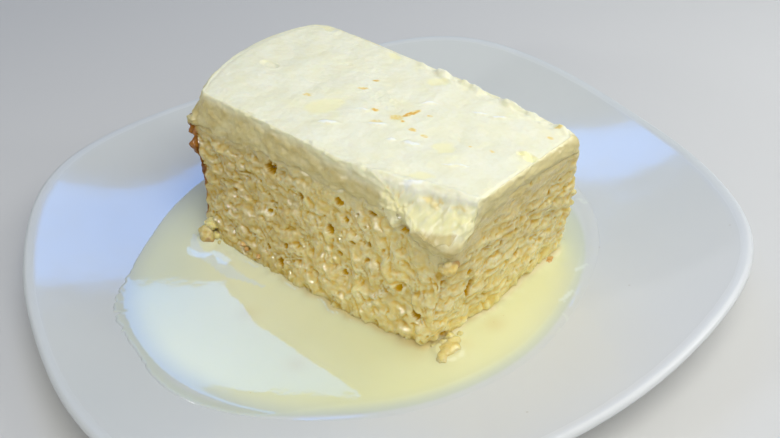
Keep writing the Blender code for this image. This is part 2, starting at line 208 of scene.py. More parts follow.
# Open pits of the cut faces: place along the face, share of the height, width, height and depth in mm
NEAR_PITS = [
    (-0.296, 0.714, 4.4, 3.6, 3.4),
    (-0.044, 0.636, 2.0, 3.4, 2.0),
    (0.246, 0.721, 2.8, 2.4, 1.8),
    (0.301, 0.631, 1.8, 1.6, 1.4),
    (0.191, 0.519, 3.4, 2.6, 2.2),
    (0.477, 0.743, 2.6, 1.6, 1.6),
    (0.682, 0.765, 5.0, 4.4, 3.0),
    (0.481, 0.553, 1.8, 1.8, 1.2),
    (0.364, 0.517, 1.6, 1.6, 1.2),
    (0.281, 0.407, 2.0, 1.6, 1.2),
    (-0.629, 0.458, 2.4, 2.0, 1.4),
    (-0.328, 0.429, 1.8, 1.5, 1.1),
    (-0.388, 0.597, 1.6, 1.3, 1.0),
    (-0.388, 0.047, 2.6, 1.8, 1.8),
    (-0.193, 0.152, 2.6, 3.4, 2.0),
    (-0.316, 0.207, 2.2, 2.0, 1.5),
    (-0.162, 0.269, 2.0, 1.7, 1.3),
    (0.322, 0.298, 2.0, 1.7, 1.3),
    (0.868, 0.257, 3.0, 3.0, 2.2),
    (0.725, 0.376, 1.6, 2.6, 1.1),
]
RIGHT_PITS = [
    (-0.240, 0.546, 3.4, 2.0, 2.0),
    (-0.590, 0.363, 2.8, 5.6, 2.4),
    (0.500, 0.674, 3.2, 2.2, 1.9),
    (0.660, 0.728, 2.4, 1.4, 1.4),
    (0.213, 0.633, 4.2, 0.9, 1.5),
    (0.115, 0.349, 2.6, 3.2, 1.9),
    (0.390, 0.174, 2.4, 2.0, 1.6),
    (0.648, 0.166, 2.2, 1.8, 1.5),
    (-0.037, 0.667, 2.4, 1.2, 1.2),
    (-0.636, 0.502, 2.2, 1.6, 1.3),
    (-0.780, 0.079, 3.0, 3.4, 2.4),
    (-0.540, 0.013, 3.4, 2.4, 2.4),
]

# On the cream's top, in mm along and across from its middle. Yellower patches: place and half sizes
TOP_PATCHES = [
    ((-41.8, 27.0), (4.6, 3.5)),
    ((-14.4, 27.0), (4.3, 3.2)),
    ((4.6, 23.0), (4.6, 3.2)),
    ((29.6, -21.0), (5.1, 3.5)),
    ((-12.4, -11.0), (10.1, 6.2)),
    ((26.6, -5.0), (5.4, 3.8)),
]

# Raised wet ridges with a painted gleam: place and half sizes, all turned the same way
RIDGE_TURN = 0.66
TOP_RIDGES = [
    ((-5.5, -17.8), (5.4, 1.3)),
    ((5.5, -8.5), (4.8, 1.1)),
    ((13.8, -12.3), (2.2, 1.0)),
    ((18.7, -9.7), (4.0, 1.9)),
    ((28.9, 19.7), (3.8, 1.0)),
    ((31.0, -25.6), (5.4, 1.8)),
    ((-2.2, -5.5), (3.6, 0.7)),
    ((34.0, -9.8), (6.6, 0.6)),
    ((9.9, 11.4), (4.2, 0.8)),
    ((23.8, 17.8), (3.4, 0.7)),
]

# Browned streaks and specks: place, half sizes, turn and strength
TOP_STREAKS = [
    ((9.6, 3.0), (1.25, 4.8), -0.25, 0.95),
    ((7.6, -1.7), (2.9, 2.3), 0.6, 0.50),
    ((10.4, -2.2), (0.9, 0.8), 0.0, 0.80),
    ((0.5, -2.6), (1.7, 1.1), 0.65, 0.85),
    ((-9.5, 10.8), (1.6, 1.0), 0.65, 0.70),
    ((-9.7, 4.7), (2.4, 0.9), 0.65, 0.55),
    ((-20.2, -9.2), (2.2, 1.3), 0.65, 0.45),
    ((4.4, -7.2), (2.8, 1.2), 0.65, 0.35),
    ((14.9, -3.9), (1.9, 1.3), 0.50, 0.62),
    ((19.2, -3.9), (1.5, 1.0), 0.50, 0.50),
    ((14.5, 5.6), (1.3, 0.9), 0.50, 0.50),
    ((31.6, 1.0), (1.0, 0.8), 0.0, 0.50),
    ((36.8, 3.5), (1.2, 1.0), 0.0, 0.45),
    ((43.2, 27.9), (1.8, 1.1), 0.65, 0.50),
    ((44.1, 22.2), (1.4, 1.1), 0.65, 0.45),
]

# A shallow crater, and freshly broken bits at the right edge: place and half sizes
CRATER = ((-38.3, -3.5), (4.2, 3.4))
BROKEN_BITS = ((45.0, 8.7), (4.6, 2.8))


# Repeatable noise on arrays of points


def stirred(cells, salt):
    """A whole number for each lattice cell, the same on every run."""
    c = (np.asarray(cells, np.int64) & 0xFFFFFFFF).astype(np.uint32)
    h = c[..., 0] * np.uint32(0x9E3779B1) ^ c[..., 1] * np.uint32(0x85EBCA77)
    h = h ^ c[..., 2] * np.uint32(0xC2B2AE3D) ^ np.uint32((salt * 0x27D4EB2F) & 0xFFFFFFFF)
    h = (h ^ (h >> np.uint32(16))) * np.uint32(0x7FEB352D)
    h = (h ^ (h >> np.uint32(15))) * np.uint32(0x846CA68B)
    return h ^ (h >> np.uint32(16))


def shares(number, count):
    """Several numbers from 0 to 1 made from one whole number."""
    found = []
    for i in range(count):
        number = (number ^ (number >> np.uint32(15))) * np.uint32(0x2C1B3C6D + 2 * i)
        number = number ^ (number >> np.uint32(13))
        found.append(number.astype(np.float64) / 4294967295.0)
    return found


def grain(points, size, salt=0):
    """Smooth noise from about -1 to 1, with lumps of this size; size may differ along x, y and z."""
    p = np.asarray(points, float) / np.asarray(size, float)
    low = np.floor(p).astype(np.int64)
    part = p - low
    fade = part**3 * (part * (part * 6 - 15) + 10)
    total = np.zeros(p.shape[:-1])
    for corner in np.ndindex(2, 2, 2):
        across, turn = shares(stirred(low + corner, salt), 2)
        z = 2 * across - 1
        flat = np.sqrt(1 - z * z)
        off = part - corner
        dot = off[..., 0] * flat * np.cos(math.tau * turn) + off[..., 1] * flat * np.sin(math.tau * turn)
        weight = np.ones(p.shape[:-1])
        for axis in range(3):
            weight = weight * (fade[..., axis] if corner[axis] else 1 - fade[..., axis])
        total += weight * (dot + off[..., 2] * z)
    return 1.6 * total


def layers(points, size, count, salt=0, keep=0.5):
    """Noise with finer and finer noise added."""
    total, share = 0.0, 1.0
    for i in range(count):
        total = total + share * grain(points, np.asarray(size, float) / 2**i, salt + 17 * i)
        share *= keep
    return total


def seeds_round(points, size, salt, count):
    """For each of the 27 cells round a point: its seed's distance, squared, and the seed's own numbers."""
    p = np.asarray(points, float) / np.asarray(size, float)
    low = np.floor(p).astype(np.int64)
    for step in np.ndindex(3, 3, 3):
        cell = low + np.array(step) - 1
        found = shares(stirred(cell, salt), 3 + count)
        away = p - cell - np.stack(found[:3], axis=-1)
        yield (away**2).sum(-1), found[3:]


def nearest_cell(points, size, salt):
    """For each point: distance to the nearest scattered seed, and two numbers of that seed."""
    nearest, own = np.inf, (0.0, 0.0)
    for square, numbers in seeds_round(points, size, salt, 2):
        closer = square < nearest
        nearest = np.where(closer, square, nearest)
        own = [np.where(closer, new, old) for new, old in zip(numbers, own)]
    return np.sqrt(nearest), own


def knobs(points, size, salt):
    """Soft rounded lumps from 0 to 1, run together like wet crumb, with hollows left between them."""
    total = 0.0
    for square, (weight,) in seeds_round(points, size, salt, 1):
        total = total + (0.35 + weight) * np.exp(-square / 0.16)
    return 1 - np.exp(-2.4 * total)


def ease(value):
    value = np.clip(value, 0.0, 1.0)
    return value * value * (3 - 2 * value)


# Form of the plate, the milk's outline and the slice, as in the CAD part


def rim_share(angle):
    turn = angle - math.pi / 4
    share = 1 + RIM_SQUARE * np.cos(4 * turn)
    for order, size in enumerate(RIM_TIGHTEN, start=2):
        share = share + size * np.cos(4 * order * turn)
    return share


def coupe(radius):
    return np.clip((radius - WELL_RADIUS) / (RIM_RADIUS - WELL_RADIUS), 0.0, 1.0)


def plate_height(radius):
    return WELL_HEIGHT + (RIM_HEIGHT - WELL_HEIGHT) * coupe(radius) ** COUPE_POWER


def plate_surface(x, y):
    """Height of the plate's upper face over a place."""
    reach, angle = np.hypot(x, y), np.arctan2(y, x)
    radius = reach
    for _ in range(8):
        radius = reach / (1 + coupe(radius) * (rim_share(angle) - 1))
    lift = CORNER_LIFT * np.cos(4 * (angle - math.pi / 4)) * coupe(radius) ** 2
    return plate_height(radius) + lift


def lobe(angle, size, at, width):
    off = (np.degrees(angle) - at + 180) % 360 - 180
    return size * np.exp(-((off / width) ** 2))


def in_plate(along, across, height):
    c, s = math.cos(SLICE_YAW), math.sin(SLICE_YAW)
    x = SLICE_CENTRE[0] + along * c - across * s
    y = SLICE_CENTRE[1] + along * s + across * c
    return np.stack(np.broadcast_arrays(x, y, height), axis=-1)


def swell(h, peak, low, high):
    """0 at the base and the top, 1 at the peak between them."""
    up = np.clip(h / peak, 0.0, 1.0) ** low
    return up * (1 - np.clip((h - peak) / (1 - peak), 0.0, 1.0) ** high)


def sag(a, b, h):
    """How far the soaked base has spread outwards, along and across."""
    low = np.maximum(1 - h, 0.0) ** 1.8
    held = 1 - 0.6 * ease((a - 0.45) / 0.55) - 0.65 * ease((-a - 0.72) / 0.28)
    right = SAG_RIGHT * np.maximum(a, 0.0) ** 2 * ease((b + 0.95) / 0.8)
    return right * low, -SAG_NEAR * held * (1 - b) / 2 * low


def block(a, b, h):
    """Points of the leaning slice."""
    a, b, h = np.broadcast_arrays(*(np.asarray(v, float) for v in (a, b, h)))
    along, across = a * HALF_LENGTH, b * HALF_WIDTH
    radius = np.zeros(a.shape)
    for (end, side), size in CORNER_RADIUS.items():
        radius = np.where((a * end > 0) & (b * side > 0), size, radius)
    over_a = np.maximum(np.abs(along) - (HALF_LENGTH - radius), 0.0)
    over_b = np.maximum(np.abs(across) - (HALF_WIDTH - radius), 0.0)
    length = np.hypot(over_a, over_b)
    kept = np.maximum(over_a, over_b) / np.maximum(length, 1e-9)
    along = along - np.sign(along) * over_a * (1 - kept)
    across = across - np.sign(across) * over_b * (1 - kept)
    for (end, side), (shift_along, shift_across) in LEAN.items():
        share = (1 + end * a) * (1 + side * b) / 4 * h
        along = along + shift_along * share
        across = across + shift_across * share
    for (end, side), (out_along, out_across, peak, low, high) in BELLY.items():
        share = (1 + end * a) * (1 + side * b) / 4 * swell(h, peak, low, high)
        along = along + out_along * share
        across = across + out_across * share
    across = across + FAR_BOW * (1 - a * a) * (1 + b) / 2 * ease(h / 0.5)
    bulge = PAN_BULGE_BASE + (PAN_BULGE_TOP - PAN_BULGE_BASE) * ease(h / 0.8)
    full = PAN_BULGE_FULL * swell(h, 0.78, 1.5, 1.0)
    plan = (1 - full) * (1 - b * b) + full * (1 - np.abs(b) ** 7)
    along = along - bulge * plan * np.maximum(-a, 0.0) ** 4
    spread_along, spread_across = sag(a, b, h)
    tuck = BASE_TUCK * np.maximum(1 - h / 0.09, 0.0) ** 2
    along = along + spread_along - tuck * a * np.abs(a)
    across = across + spread_across - tuck * b * np.abs(b)
    return in_plate(along, across, BASE_HEIGHT + HEIGHT * h)


def around(cells_long, cells_wide):
    """Places round the slice's sides, anticlockwise from the near left corner."""
    long = np.linspace(-1, 1, cells_long + 1)[:-1]
    wide = np.linspace(-1, 1, cells_wide + 1)[:-1]
    a = np.concatenate([long, np.ones(cells_wide), -long, -np.ones(cells_wide)])
    b = np.concatenate([-np.ones(cells_long), wide, np.ones(cells_long), -wide])
    return a, b


def side_normals(points):
    """Outward directions of a grid of rows by columns that closes on itself round the slice."""
    across = np.roll(points, -1, axis=1) - np.roll(points, 1, axis=1)
    up = np.gradient(points, axis=0)
    normal = np.cross(across, up)
    return normal / np.maximum(np.linalg.norm(normal, axis=-1, keepdims=True), 1e-12)


# Meshes


def put(name, data):
    obj = bpy.data.objects.new(name, data)
    bpy.context.scene.collection.objects.link(obj)
    return obj


def piece(name, points, faces, material):
    mesh = bpy.data.meshes.new(name)
    mesh.from_pydata(np.asarray(points).reshape(-1, 3).tolist(), [], faces)
    mesh.validate()
    mesh.materials.append(material)
    mesh.shade_smooth()
    return put(name, mesh)


def mark(obj, name, values):
    """Keeps a number for each point, for the material to read."""
    attribute = obj.data.attributes.new(name, "FLOAT", "POINT")
    attribute.data.foreach_set("value", np.asarray(values, np.float32).ravel())


def band_faces(first_row, rows, columns):
    """Outward quads between rows of points that run round and close, lowest row first."""
    index = first_row + np.arange(rows * columns).reshape(rows, columns)
    turned = np.roll(index, -1, axis=1)
    quads = np.stack([index[:-1], turned[:-1], turned[1:], index[1:]], axis=-1)
    return quads.reshape(-1, 4).tolist()


def fan_faces(ring, pole, upward):
    pairs = zip(ring, np.roll(ring, -1))
    return [[int(i), int(j), pole] if upward else [int(j), int(i), pole] for i, j in pairs]


# Node trees of materials and of made shapes


class Nodes:
    """A node tree that is put together step by step."""

    def feed(self, socket, value):
        if isinstance(value, bpy.types.NodeSocket):
            self.tree.links.new(value, socket)
        elif isinstance(value, tuple) and len(value) == 3 and socket.type == "RGBA":
            socket.default_value = (*value, 1.0)
        else:
            socket.default_value = value

    def step(self, kind, settings=None, **inputs):
        """Adds a node; an input is named by its words with _ between, or by its number after an n."""
        node = self.tree.nodes.new(kind)
        for name, value in (settings or {}).items():
            setattr(node, name, value)
        for name, value in inputs.items():
            key = int(name[1:]) if name[0] == "n" and name[1:].isdigit() else name.replace("_", " ")
            self.feed(node.inputs[key], value)
        return node

    def maths(self, operation, *values):
        node = self.step("ShaderNodeMath", {"operation": operation})
        for socket, value in zip(node.inputs, values):
            self.feed(socket, value)
        return node.outputs[0]

    def times(self, first, second):
        return self.maths("MULTIPLY", first, second)


# Colours of the materials; a pair holds the two ends of a patchy one

GLAZE = ((0.585, 0.615, 0.625), (0.625, 0.655, 0.66))
# Lighter glaze painted towards +x, where the plate is more brightly lit
GLAZE_PAINTED_LIGHT = (0.70, 0.715, 0.74)
GLAZE_SPECK = (0.42, 0.40, 0.36)
BARE_CLAY = (0.62, 0.57, 0.49)

THIN_MILK = ((0.55, 0.60, 0.59), (0.56, 0.61, 0.54))
LEAN_MILK = (0.695, 0.755, 0.645)
MIDDLE_MILK = (0.90, 0.90, 0.62)
RICH_MILK = ((0.73, 0.74, 0.43), (0.77, 0.78, 0.48))
MILK_SHORE = (0.64, 0.67, 0.67)
# Browned milk stains, also used for painted shade along the slice's foot
MILK_STAIN_AND_SHADE = (0.62, 0.43, 0.13)
# Painted reflections of the window on the milk
PAINTED_MILK_REFLECTION = (0.75, 0.81, 0.74)
MILK_SPECK = (0.62, 0.50, 0.22)

CRUMB_PALE = ((0.85, 0.785, 0.465), (0.81, 0.705, 0.33))
# Painted warm shade in the crumb's hollows, and darker still in the deepest
CRUMB_SHADE_IN_HOLLOWS = ((0.82, 0.60, 0.13), (0.76, 0.515, 0.075))
CRUMB_SHADE_DEEPEST = (0.82, 0.50, 0.045)
CRUMB_PATCH = (0.80, 0.60, 0.17)
CRUMB_FLECK = (0.74, 0.59, 0.23)
CRUMB_WET = (0.78, 0.62, 0.18)
CRUMB_SMEAR = (0.705, 0.61, 0.305)
# Painted shade in the pits
CRUMB_PIT_SHADE = (0.60, 0.345, 0.006)
CRUMB_SKIN = ((0.17, 0.055, 0.004), (0.38, 0.145, 0.014))
DAMP_TINT = (0.84, 0.80, 0.74)
# Painted shade, multiplied into the sponge's colour
PAINTED_SHADE_TINT = (0.79, 0.755, 0.68)
BROWNED = ((0.52, 0.25, 0.05), (0.74, 0.50, 0.16))

CREAM = ((0.905, 0.895, 0.705), (0.885, 0.865, 0.625))
CREAM_FLECK = (0.82, 0.78, 0.54)
CREAM_YELLOW = (0.96, 0.91, 0.53)
# Painted gleam on the cream
CREAM_PAINTED_GLEAM = (0.95, 0.98, 0.93)
# Cream's sides: their own beige where milk and crumb mix in, and painted shade
CREAM_SOAK_AND_SHADE_ON_SIDES = ((0.705, 0.61, 0.295), (0.62, 0.50, 0.20))
# Painted shade on the cream's right end
CREAM_SHADE_AT_END = (0.60, 0.53, 0.27)
CREAM_TAN = (0.88, 0.69, 0.22)
CREAM_BROWN = (0.80, 0.43, 0.06)

FLOOR = ((0.60, 0.60, 0.59), (0.66, 0.66, 0.65))


# Materials


class Finish(Nodes):
    """A material built up from nodes round one Principled shader."""

    def __init__(self, name):
        self.material = bpy.data.materials.new(name)
        self.material.use_nodes = True
        self.tree = self.material.node_tree
        self.shader = self.tree.nodes["Principled BSDF"]
        self.place = self.tree.nodes.new("ShaderNodeTexCoord").outputs["Object"]

    def set(self, **sockets):
        for name, value in sockets.items():
            self.feed(self.shader.inputs[name.replace("_", " ")], value)

    def read(self, name):
        return self.step("ShaderNodeAttribute", {"attribute_name": name}).outputs["Fac"]

    def part(self, axis):
        return self.step("ShaderNodeSeparateXYZ", n0=self.place).outputs[axis]

    def cloud(self, size, detail=3.0, rough=0.5, twist=0.0):
        """Noise with lumps of this size in metres."""
        node = self.step("ShaderNodeTexNoise", Vector=self.place, Scale=1 / size, Detail=detail)
        self.feed(node.inputs["Roughness"], rough)
        self.feed(node.inputs["Distortion"], twist)
        return node.outputs["Fac"]

    def cells(self, size):
        """Distance to the nearest of scattered spots, this size in metres apart."""
        return self.step("ShaderNodeTexVoronoi", Vector=self.place, Scale=1 / size).outputs["Distance"]

    def span(self, value, low, high, to_low=0.0, to_high=1.0):
        """Eases from one number to another while the value goes from low to high."""
        ends = {"From_Min": low, "From_Max": high, "To_Min": to_low, "To_Max": to_high}
        soft = {"interpolation_type": "SMOOTHSTEP"}
        return self.step("ShaderNodeMapRange", soft, Value=value, **ends).outputs[0]

    def blend(self, share, first, second, kind="MIX"):
        settings = {"data_type": "RGBA", "blend_type": kind}
        return self.step("ShaderNodeMix", settings, Factor=share, n6=first, n7=second).outputs[2]

    def bump(self, height, depth, strength=1.0, under=None):
        node = self.step("ShaderNodeBump", Height=height, Distance=depth, Strength=strength)
        if under is not None:
            self.feed(node.inputs["Normal"], under)
        return node.outputs["Normal"]


def glazed_white():
    f = Finish("glazed white stoneware")
    shade = f.cloud(0.030, 3)
    colour = f.blend(shade, *GLAZE)
    # Painted light: the glaze is blended lighter towards +x
    colour = f.blend(f.span(f.part("X"), 0.02, 0.11, 0.0, 0.72), colour, GLAZE_PAINTED_LIGHT)
    specks = f.span(f.cells(0.0042), 0.05, 0.11, 1.0, 0.0)
    specks = f.times(specks, f.span(f.cloud(0.011, 2), 0.60, 0.68))
    colour = f.blend(f.times(specks, 0.35), colour, GLAZE_SPECK)
    bare = f.span(f.part("Z"), 0.0002, 0.0006, 1.0, 0.0)
    colour = f.blend(bare, colour, BARE_CLAY)
    rough = f.maths("ADD", 0.10, f.times(bare, 0.6))
    rough = f.maths("ADD", rough, f.times(f.span(f.cloud(0.008, 4), 0.45, 0.75), 0.05))
    ripple = f.bump(f.cloud(0.012, 2, 0.4), 0.00012, 0.5)
    lip = f.read("lip")
    rough = f.maths("ADD", rough, f.times(lip, 0.32))
    f.set(Base_Color=colour, Roughness=rough, IOR=1.5, Normal=ripple)
    right = f.span(f.part("X"), 0.03, 0.08)
    coat = f.times(f.span(right, 0.0, 1.0, 0.3, 0.0), f.span(lip, 0.0, 1.0, 1.0, 0.0))
    f.set(Coat_Weight=coat, Coat_Roughness=0.04)
    f.set(Specular_IOR_Level=f.span(f.maths("MAXIMUM", right, lip), 0.0, 1.0, 0.5, 0.31))
    return f.material


def sweet_milk():
    f = Finish("three milks")
    deep = f.read("depth")
    swirl = f.cloud(0.018, 3, 0.5, twist=0.6)
    rich = f.read("rich")
    thin = f.blend(rich, *THIN_MILK)
    full = f.blend(swirl, *RICH_MILK)
    full = f.blend(rich, LEAN_MILK, full)
    middle = f.maths("SUBTRACT", f.span(rich, 0.15, 0.5), f.span(rich, 0.5, 0.95))
    full = f.blend(f.times(middle, 0.5), full, MIDDLE_MILK)
    colour = f.blend(deep, thin, full)
    colour = f.blend(f.span(deep, 0.0, 0.13, 1.0, 0.0), colour, MILK_SHORE)
    # Browned stains, and painted shade along the slice's foot
    colour = f.blend(f.read("tan"), colour, MILK_STAIN_AND_SHADE)
    # Painted reflections of the window on the milk
    colour = f.blend(f.read("painted_reflection"), colour, PAINTED_MILK_REFLECTION)
    specks = f.span(f.cells(0.0030), 0.04, 0.10, 1.0, 0.0)
    specks = f.times(specks, f.span(f.cloud(0.009, 2), 0.58, 0.66))
    colour = f.blend(f.times(specks, 0.5), colour, MILK_SPECK)
    skin = f.bump(f.cloud(0.006, 3, 0.5), 0.00006, 0.35)
    rough = f.span(f.cloud(0.010, 3), 0.35, 0.7, 0.015, 0.045)
    f.set(Base_Color=colour, Roughness=rough, IOR=1.46, Normal=skin)
    f.set(Subsurface_Weight=0.25, Subsurface_Scale=0.002, Subsurface_Radius=(1.0, 0.9, 0.6))
    return f.material


def soaked_crumb():
    f = Finish("soaked sponge")
    pit, crust, wet, smear, knob = (f.read(n) for n in ("pit", "crust", "wet", "smear", "knob"))
    pale = f.blend(f.span(f.cloud(0.0060, 4, 0.6), 0.35, 0.68), *CRUMB_PALE)
    # Painted shade: warmer, darker colour in the hollows between the lumps
    deep = f.blend(f.span(f.cloud(0.0045, 3, 0.6), 0.35, 0.68), *CRUMB_SHADE_IN_HOLLOWS)
    colour = f.blend(f.span(knob, 0.12, 0.86), deep, pale)
    colour = f.blend(f.span(knob, 0.0, 0.22, 0.6, 0.0), colour, CRUMB_SHADE_DEEPEST)
    wide = f.span(f.cloud(0.0085, 3, 0.55, twist=0.5), 0.50, 0.66, 0.0, 0.38)
    colour = f.blend(wide, colour, CRUMB_PATCH)
    damp = f.span(f.cloud(0.0105, 3, 0.55, twist=0.4), 0.44, 0.62, 0.0, 0.6)
    colour = f.blend(damp, colour, DAMP_TINT, "MULTIPLY")
    fine = f.cloud(0.0011, 3, 0.6)
    colour = f.blend(f.span(fine, 0.40, 0.72, 0.0, 0.35), colour, CRUMB_FLECK)
    colour = f.blend(f.times(wet, 0.45), colour, CRUMB_WET)
    colour = f.blend(f.times(smear, 0.8), colour, CRUMB_SMEAR)
    # Painted shade in the pits, and the orange stain under the front corner
    colour = f.blend(pit, colour, CRUMB_PIT_SHADE)
    skin = f.blend(f.span(f.cloud(0.0035, 4, 0.6), 0.35, 0.65), *CRUMB_SKIN)
    # Painted shade: the colour is darkened where marked
    colour = f.blend(f.read("painted_shade"), colour, PAINTED_SHADE_TINT, "MULTIPLY")
    colour = f.blend(crust, colour, skin)
    rough = f.maths("SUBTRACT", f.span(fine, 0.3, 0.7, 0.36, 0.52), f.times(wet, 0.10))
    low = f.bump(f.cloud(0.0018, 3, 0.55), 0.00016, 0.6)
    high = f.bump(f.cloud(0.00075, 3, 0.6), 0.00012, 0.6, low)
    f.set(Base_Color=colour, Roughness=rough, IOR=1.38, Normal=high)
    soft = f.times(f.span(pit, 0.0, 0.7, 0.7, 0.15), f.span(crust, 0.0, 0.8, 1.0, 0.1))
    f.set(Subsurface_Weight=soft, Subsurface_Scale=0.0036)
    f.set(Subsurface_Radius=(1.0, 0.82, 0.40))
    beads = f.bump(f.cloud(0.00045, 2), 0.00017, 0.9, low)
    film = f.times(f.span(f.cloud(0.0024, 2), 0.44, 0.56), f.span(knob, 0.35, 0.65))
    film = f.times(film, f.span(pit, 0.0, 0.5, 1.0, 0.0))
    f.set(Coat_Weight=film, Coat_IOR=1.7, Coat_Roughness=0.07, Coat_Normal=beads)
    shine = f.times(f.span(pit, 0.0, 0.6, 0.28, 0.1), f.span(knob, 0.1, 0.5, 0.2, 1.0))
    f.set(Specular_IOR_Level=f.times(shine, f.span(crust, 0.2, 0.9, 1.0, 0.3)))
    return f.material


def whipped_cream():
    f = Finish("whipped cream")
    yellow, side, brown = (f.read(n) for n in ("yellow", "side", "brown"))
    patches = f.span(f.cloud(0.0075, 4, 0.55), 0.35, 0.7)
    colour = f.blend(patches, *CREAM)
    colour = f.blend(f.span(f.cloud(0.0013, 3), 0.42, 0.75, 0.0, 0.30), colour, CREAM_FLECK)
    colour = f.blend(yellow, colour, CREAM_YELLOW)
    # Painted gleam on the wet ridges and along the break
    colour = f.blend(f.read("painted_gleam"), colour, CREAM_PAINTED_GLEAM)
    # The sides' beige where milk and crumb mix in, and painted shade
    soak_and_shade = f.blend(f.span(f.cloud(0.0040, 4, 0.6), 0.35, 0.7), *CREAM_SOAK_AND_SHADE_ON_SIDES)
    colour = f.blend(side, colour, soak_and_shade)
    # Painted shade on the cream's right end
    colour = f.blend(f.read("end"), colour, CREAM_SHADE_AT_END)
    colour = f.blend(f.span(brown, 0.0, 0.5, 0.0, 0.85), colour, CREAM_TAN)
    colour = f.blend(f.span(brown, 0.4, 0.9, 0.0, 0.9), colour, CREAM_BROWN)
    rough = f.span(f.cloud(0.0028, 3), 0.35, 0.7, 0.34, 0.50)
    rough = f.maths("SUBTRACT", rough, f.times(f.read("painted_gleam"), 0.1))
    low = f.bump(f.cloud(0.0014, 4, 0.6), 0.00016, 0.6)
    high = f.bump(f.cloud(0.00045, 2, 0.6), 0.00006, 0.5, low)
    f.set(Base_Color=colour, Roughness=rough, IOR=1.40, Normal=high)
    f.set(Subsurface_Weight=0.25, Subsurface_Scale=0.0022, Subsurface_Radius=(1.0, 0.85, 0.55))
    f.set(Specular_IOR_Level=0.3, Coat_Weight=0.05, Coat_Roughness=0.12, Coat_Normal=high)
    return f.material


def browned_crumb():
    f = Finish("browned crumb")
    colour = f.blend(f.span(f.cloud(0.0016, 4, 0.6), 0.35, 0.65), *BROWNED)
    bump = f.bump(f.cloud(0.0007, 3), 0.0002, 0.8)
    roughness = f.span(f.cloud(0.002, 2), 0.3, 0.7, 0.18, 0.40)
    f.set(Base_Color=colour, Roughness=roughness, IOR=1.4, Normal=bump)
    f.set(Coat_Weight=0.5, Coat_Roughness=0.08, Coat_Normal=bump)
    return f.material


def pale_floor():
    f = Finish("pale studio floor")
    colour = f.blend(f.cloud(0.35, 3), *FLOOR)
    f.set(Base_Color=colour, Roughness=0.75, Normal=f.bump(f.cloud(0.003, 3), 0.0001, 0.2))
    return f.material


# Geometry Nodes


class Rule(Nodes):
    """A Geometry Nodes tree with named sizes."""

    def __init__(self, name):
        self.name = name
        self.tree = bpy.data.node_groups.new(name, "GeometryNodeTree")
        for way in ("INPUT", "OUTPUT"):
            self.tree.interface.new_socket("Geometry", in_out=way, socket_type="NodeSocketGeometry")
        self.start = self.tree.nodes.new("NodeGroupInput")
        self.end = self.tree.nodes.new("NodeGroupOutput")
        self.given = {}

    def size(self, name, value, kind="NodeSocketFloat"):
        socket = self.tree.interface.new_socket(name, in_out="INPUT", socket_type=kind)
        self.given[socket.identifier] = value
        return self.start.outputs[name]

    def read(self, name, kind="FLOAT"):
        return self.step("GeometryNodeInputNamedAttribute", {"data_type": kind}, Name=name).outputs[0]

    def random(self, low, high, seed, kind="FLOAT"):
        node = self.step("FunctionNodeRandomValue", {"data_type": kind}, Seed=seed)
        sockets = [s for s in node.inputs if s.enabled and s.name in ("Min", "Max")]
        for socket, value in zip(sockets, (low, high)):
            self.feed(socket, value)
        return [s for s in node.outputs if s.enabled][0]

    def finished(self, geometry, material):
        whole = self.step("GeometryNodeRealizeInstances", Geometry=geometry).outputs[0]
        smooth = self.step("GeometryNodeSetShadeSmooth", Geometry=whole).outputs[0]
        dressed = self.step("GeometryNodeSetMaterial", Geometry=smooth, Material=material).outputs[0]
        self.tree.links.new(dressed, self.end.inputs[0])

    def made_from(self, source, name):
        """Runs the tree on an object and keeps its result as a plain mesh of its own."""
        modifier = source.modifiers.new(self.name, "NODES")
        modifier.node_group = self.tree
        for identifier, value in self.given.items():
            modifier[identifier] = value
        graph = bpy.context.evaluated_depsgraph_get()
        graph.update()
        mesh = bpy.data.meshes.new_from_object(source.evaluated_get(graph))
        source.modifiers.remove(modifier)
        mesh.name = name
        return put(name, mesh)


def helper(name, points, edges=()):
    mesh = bpy.data.meshes.new(name)
    mesh.from_pydata([tuple(p) for p in points], list(edges), [])
    return put(name, mesh)


# Plate


def plate_profile():
    """Half section of the plate: the well, the coupe, the lip, the underside and the foot ring."""
    lip = WALL / 2
    profile = [(r, WELL_HEIGHT) for r in np.linspace(0, WELL_RADIUS, 14)]
    wall = np.linspace(WELL_RADIUS, RIM_RADIUS - lip, 34)[1:]
    profile += [(r, float(plate_height(r))) for r in wall]
    centre = (RIM_RADIUS - lip, float(plate_height(RIM_RADIUS - lip)) - lip)
    for turn in np.radians(np.linspace(72, -84, 9)):
        profile.append((centre[0] + lip * math.cos(turn), centre[1] + lip * math.sin(turn)))
    profile += [(r, float(plate_height(r)) - WALL) for r in wall[-2:0:-1]]
    base = WELL_HEIGHT - WALL - 0.0002
    profile += [(FOOT_OUTER + 0.0016, base), (FOOT_OUTER + 0.0007, base - 0.0003)]
    profile += [(FOOT_OUTER + 0.0001, 0.0005), (FOOT_OUTER - 0.0005, 0.0001), (FOOT_OUTER - 0.0012, 0.0)]
    profile += [(FOOT_INNER + 0.0012, 0.0), (FOOT_INNER + 0.0005, 0.0001), (FOOT_INNER, 0.0006)]
    profile += [(FOOT_INNER - 0.001, FOOT_RECESS)]
    profile += [(r, FOOT_RECESS) for r in np.linspace(FOOT_INNER - 0.003, 0, 9)]
    return profile


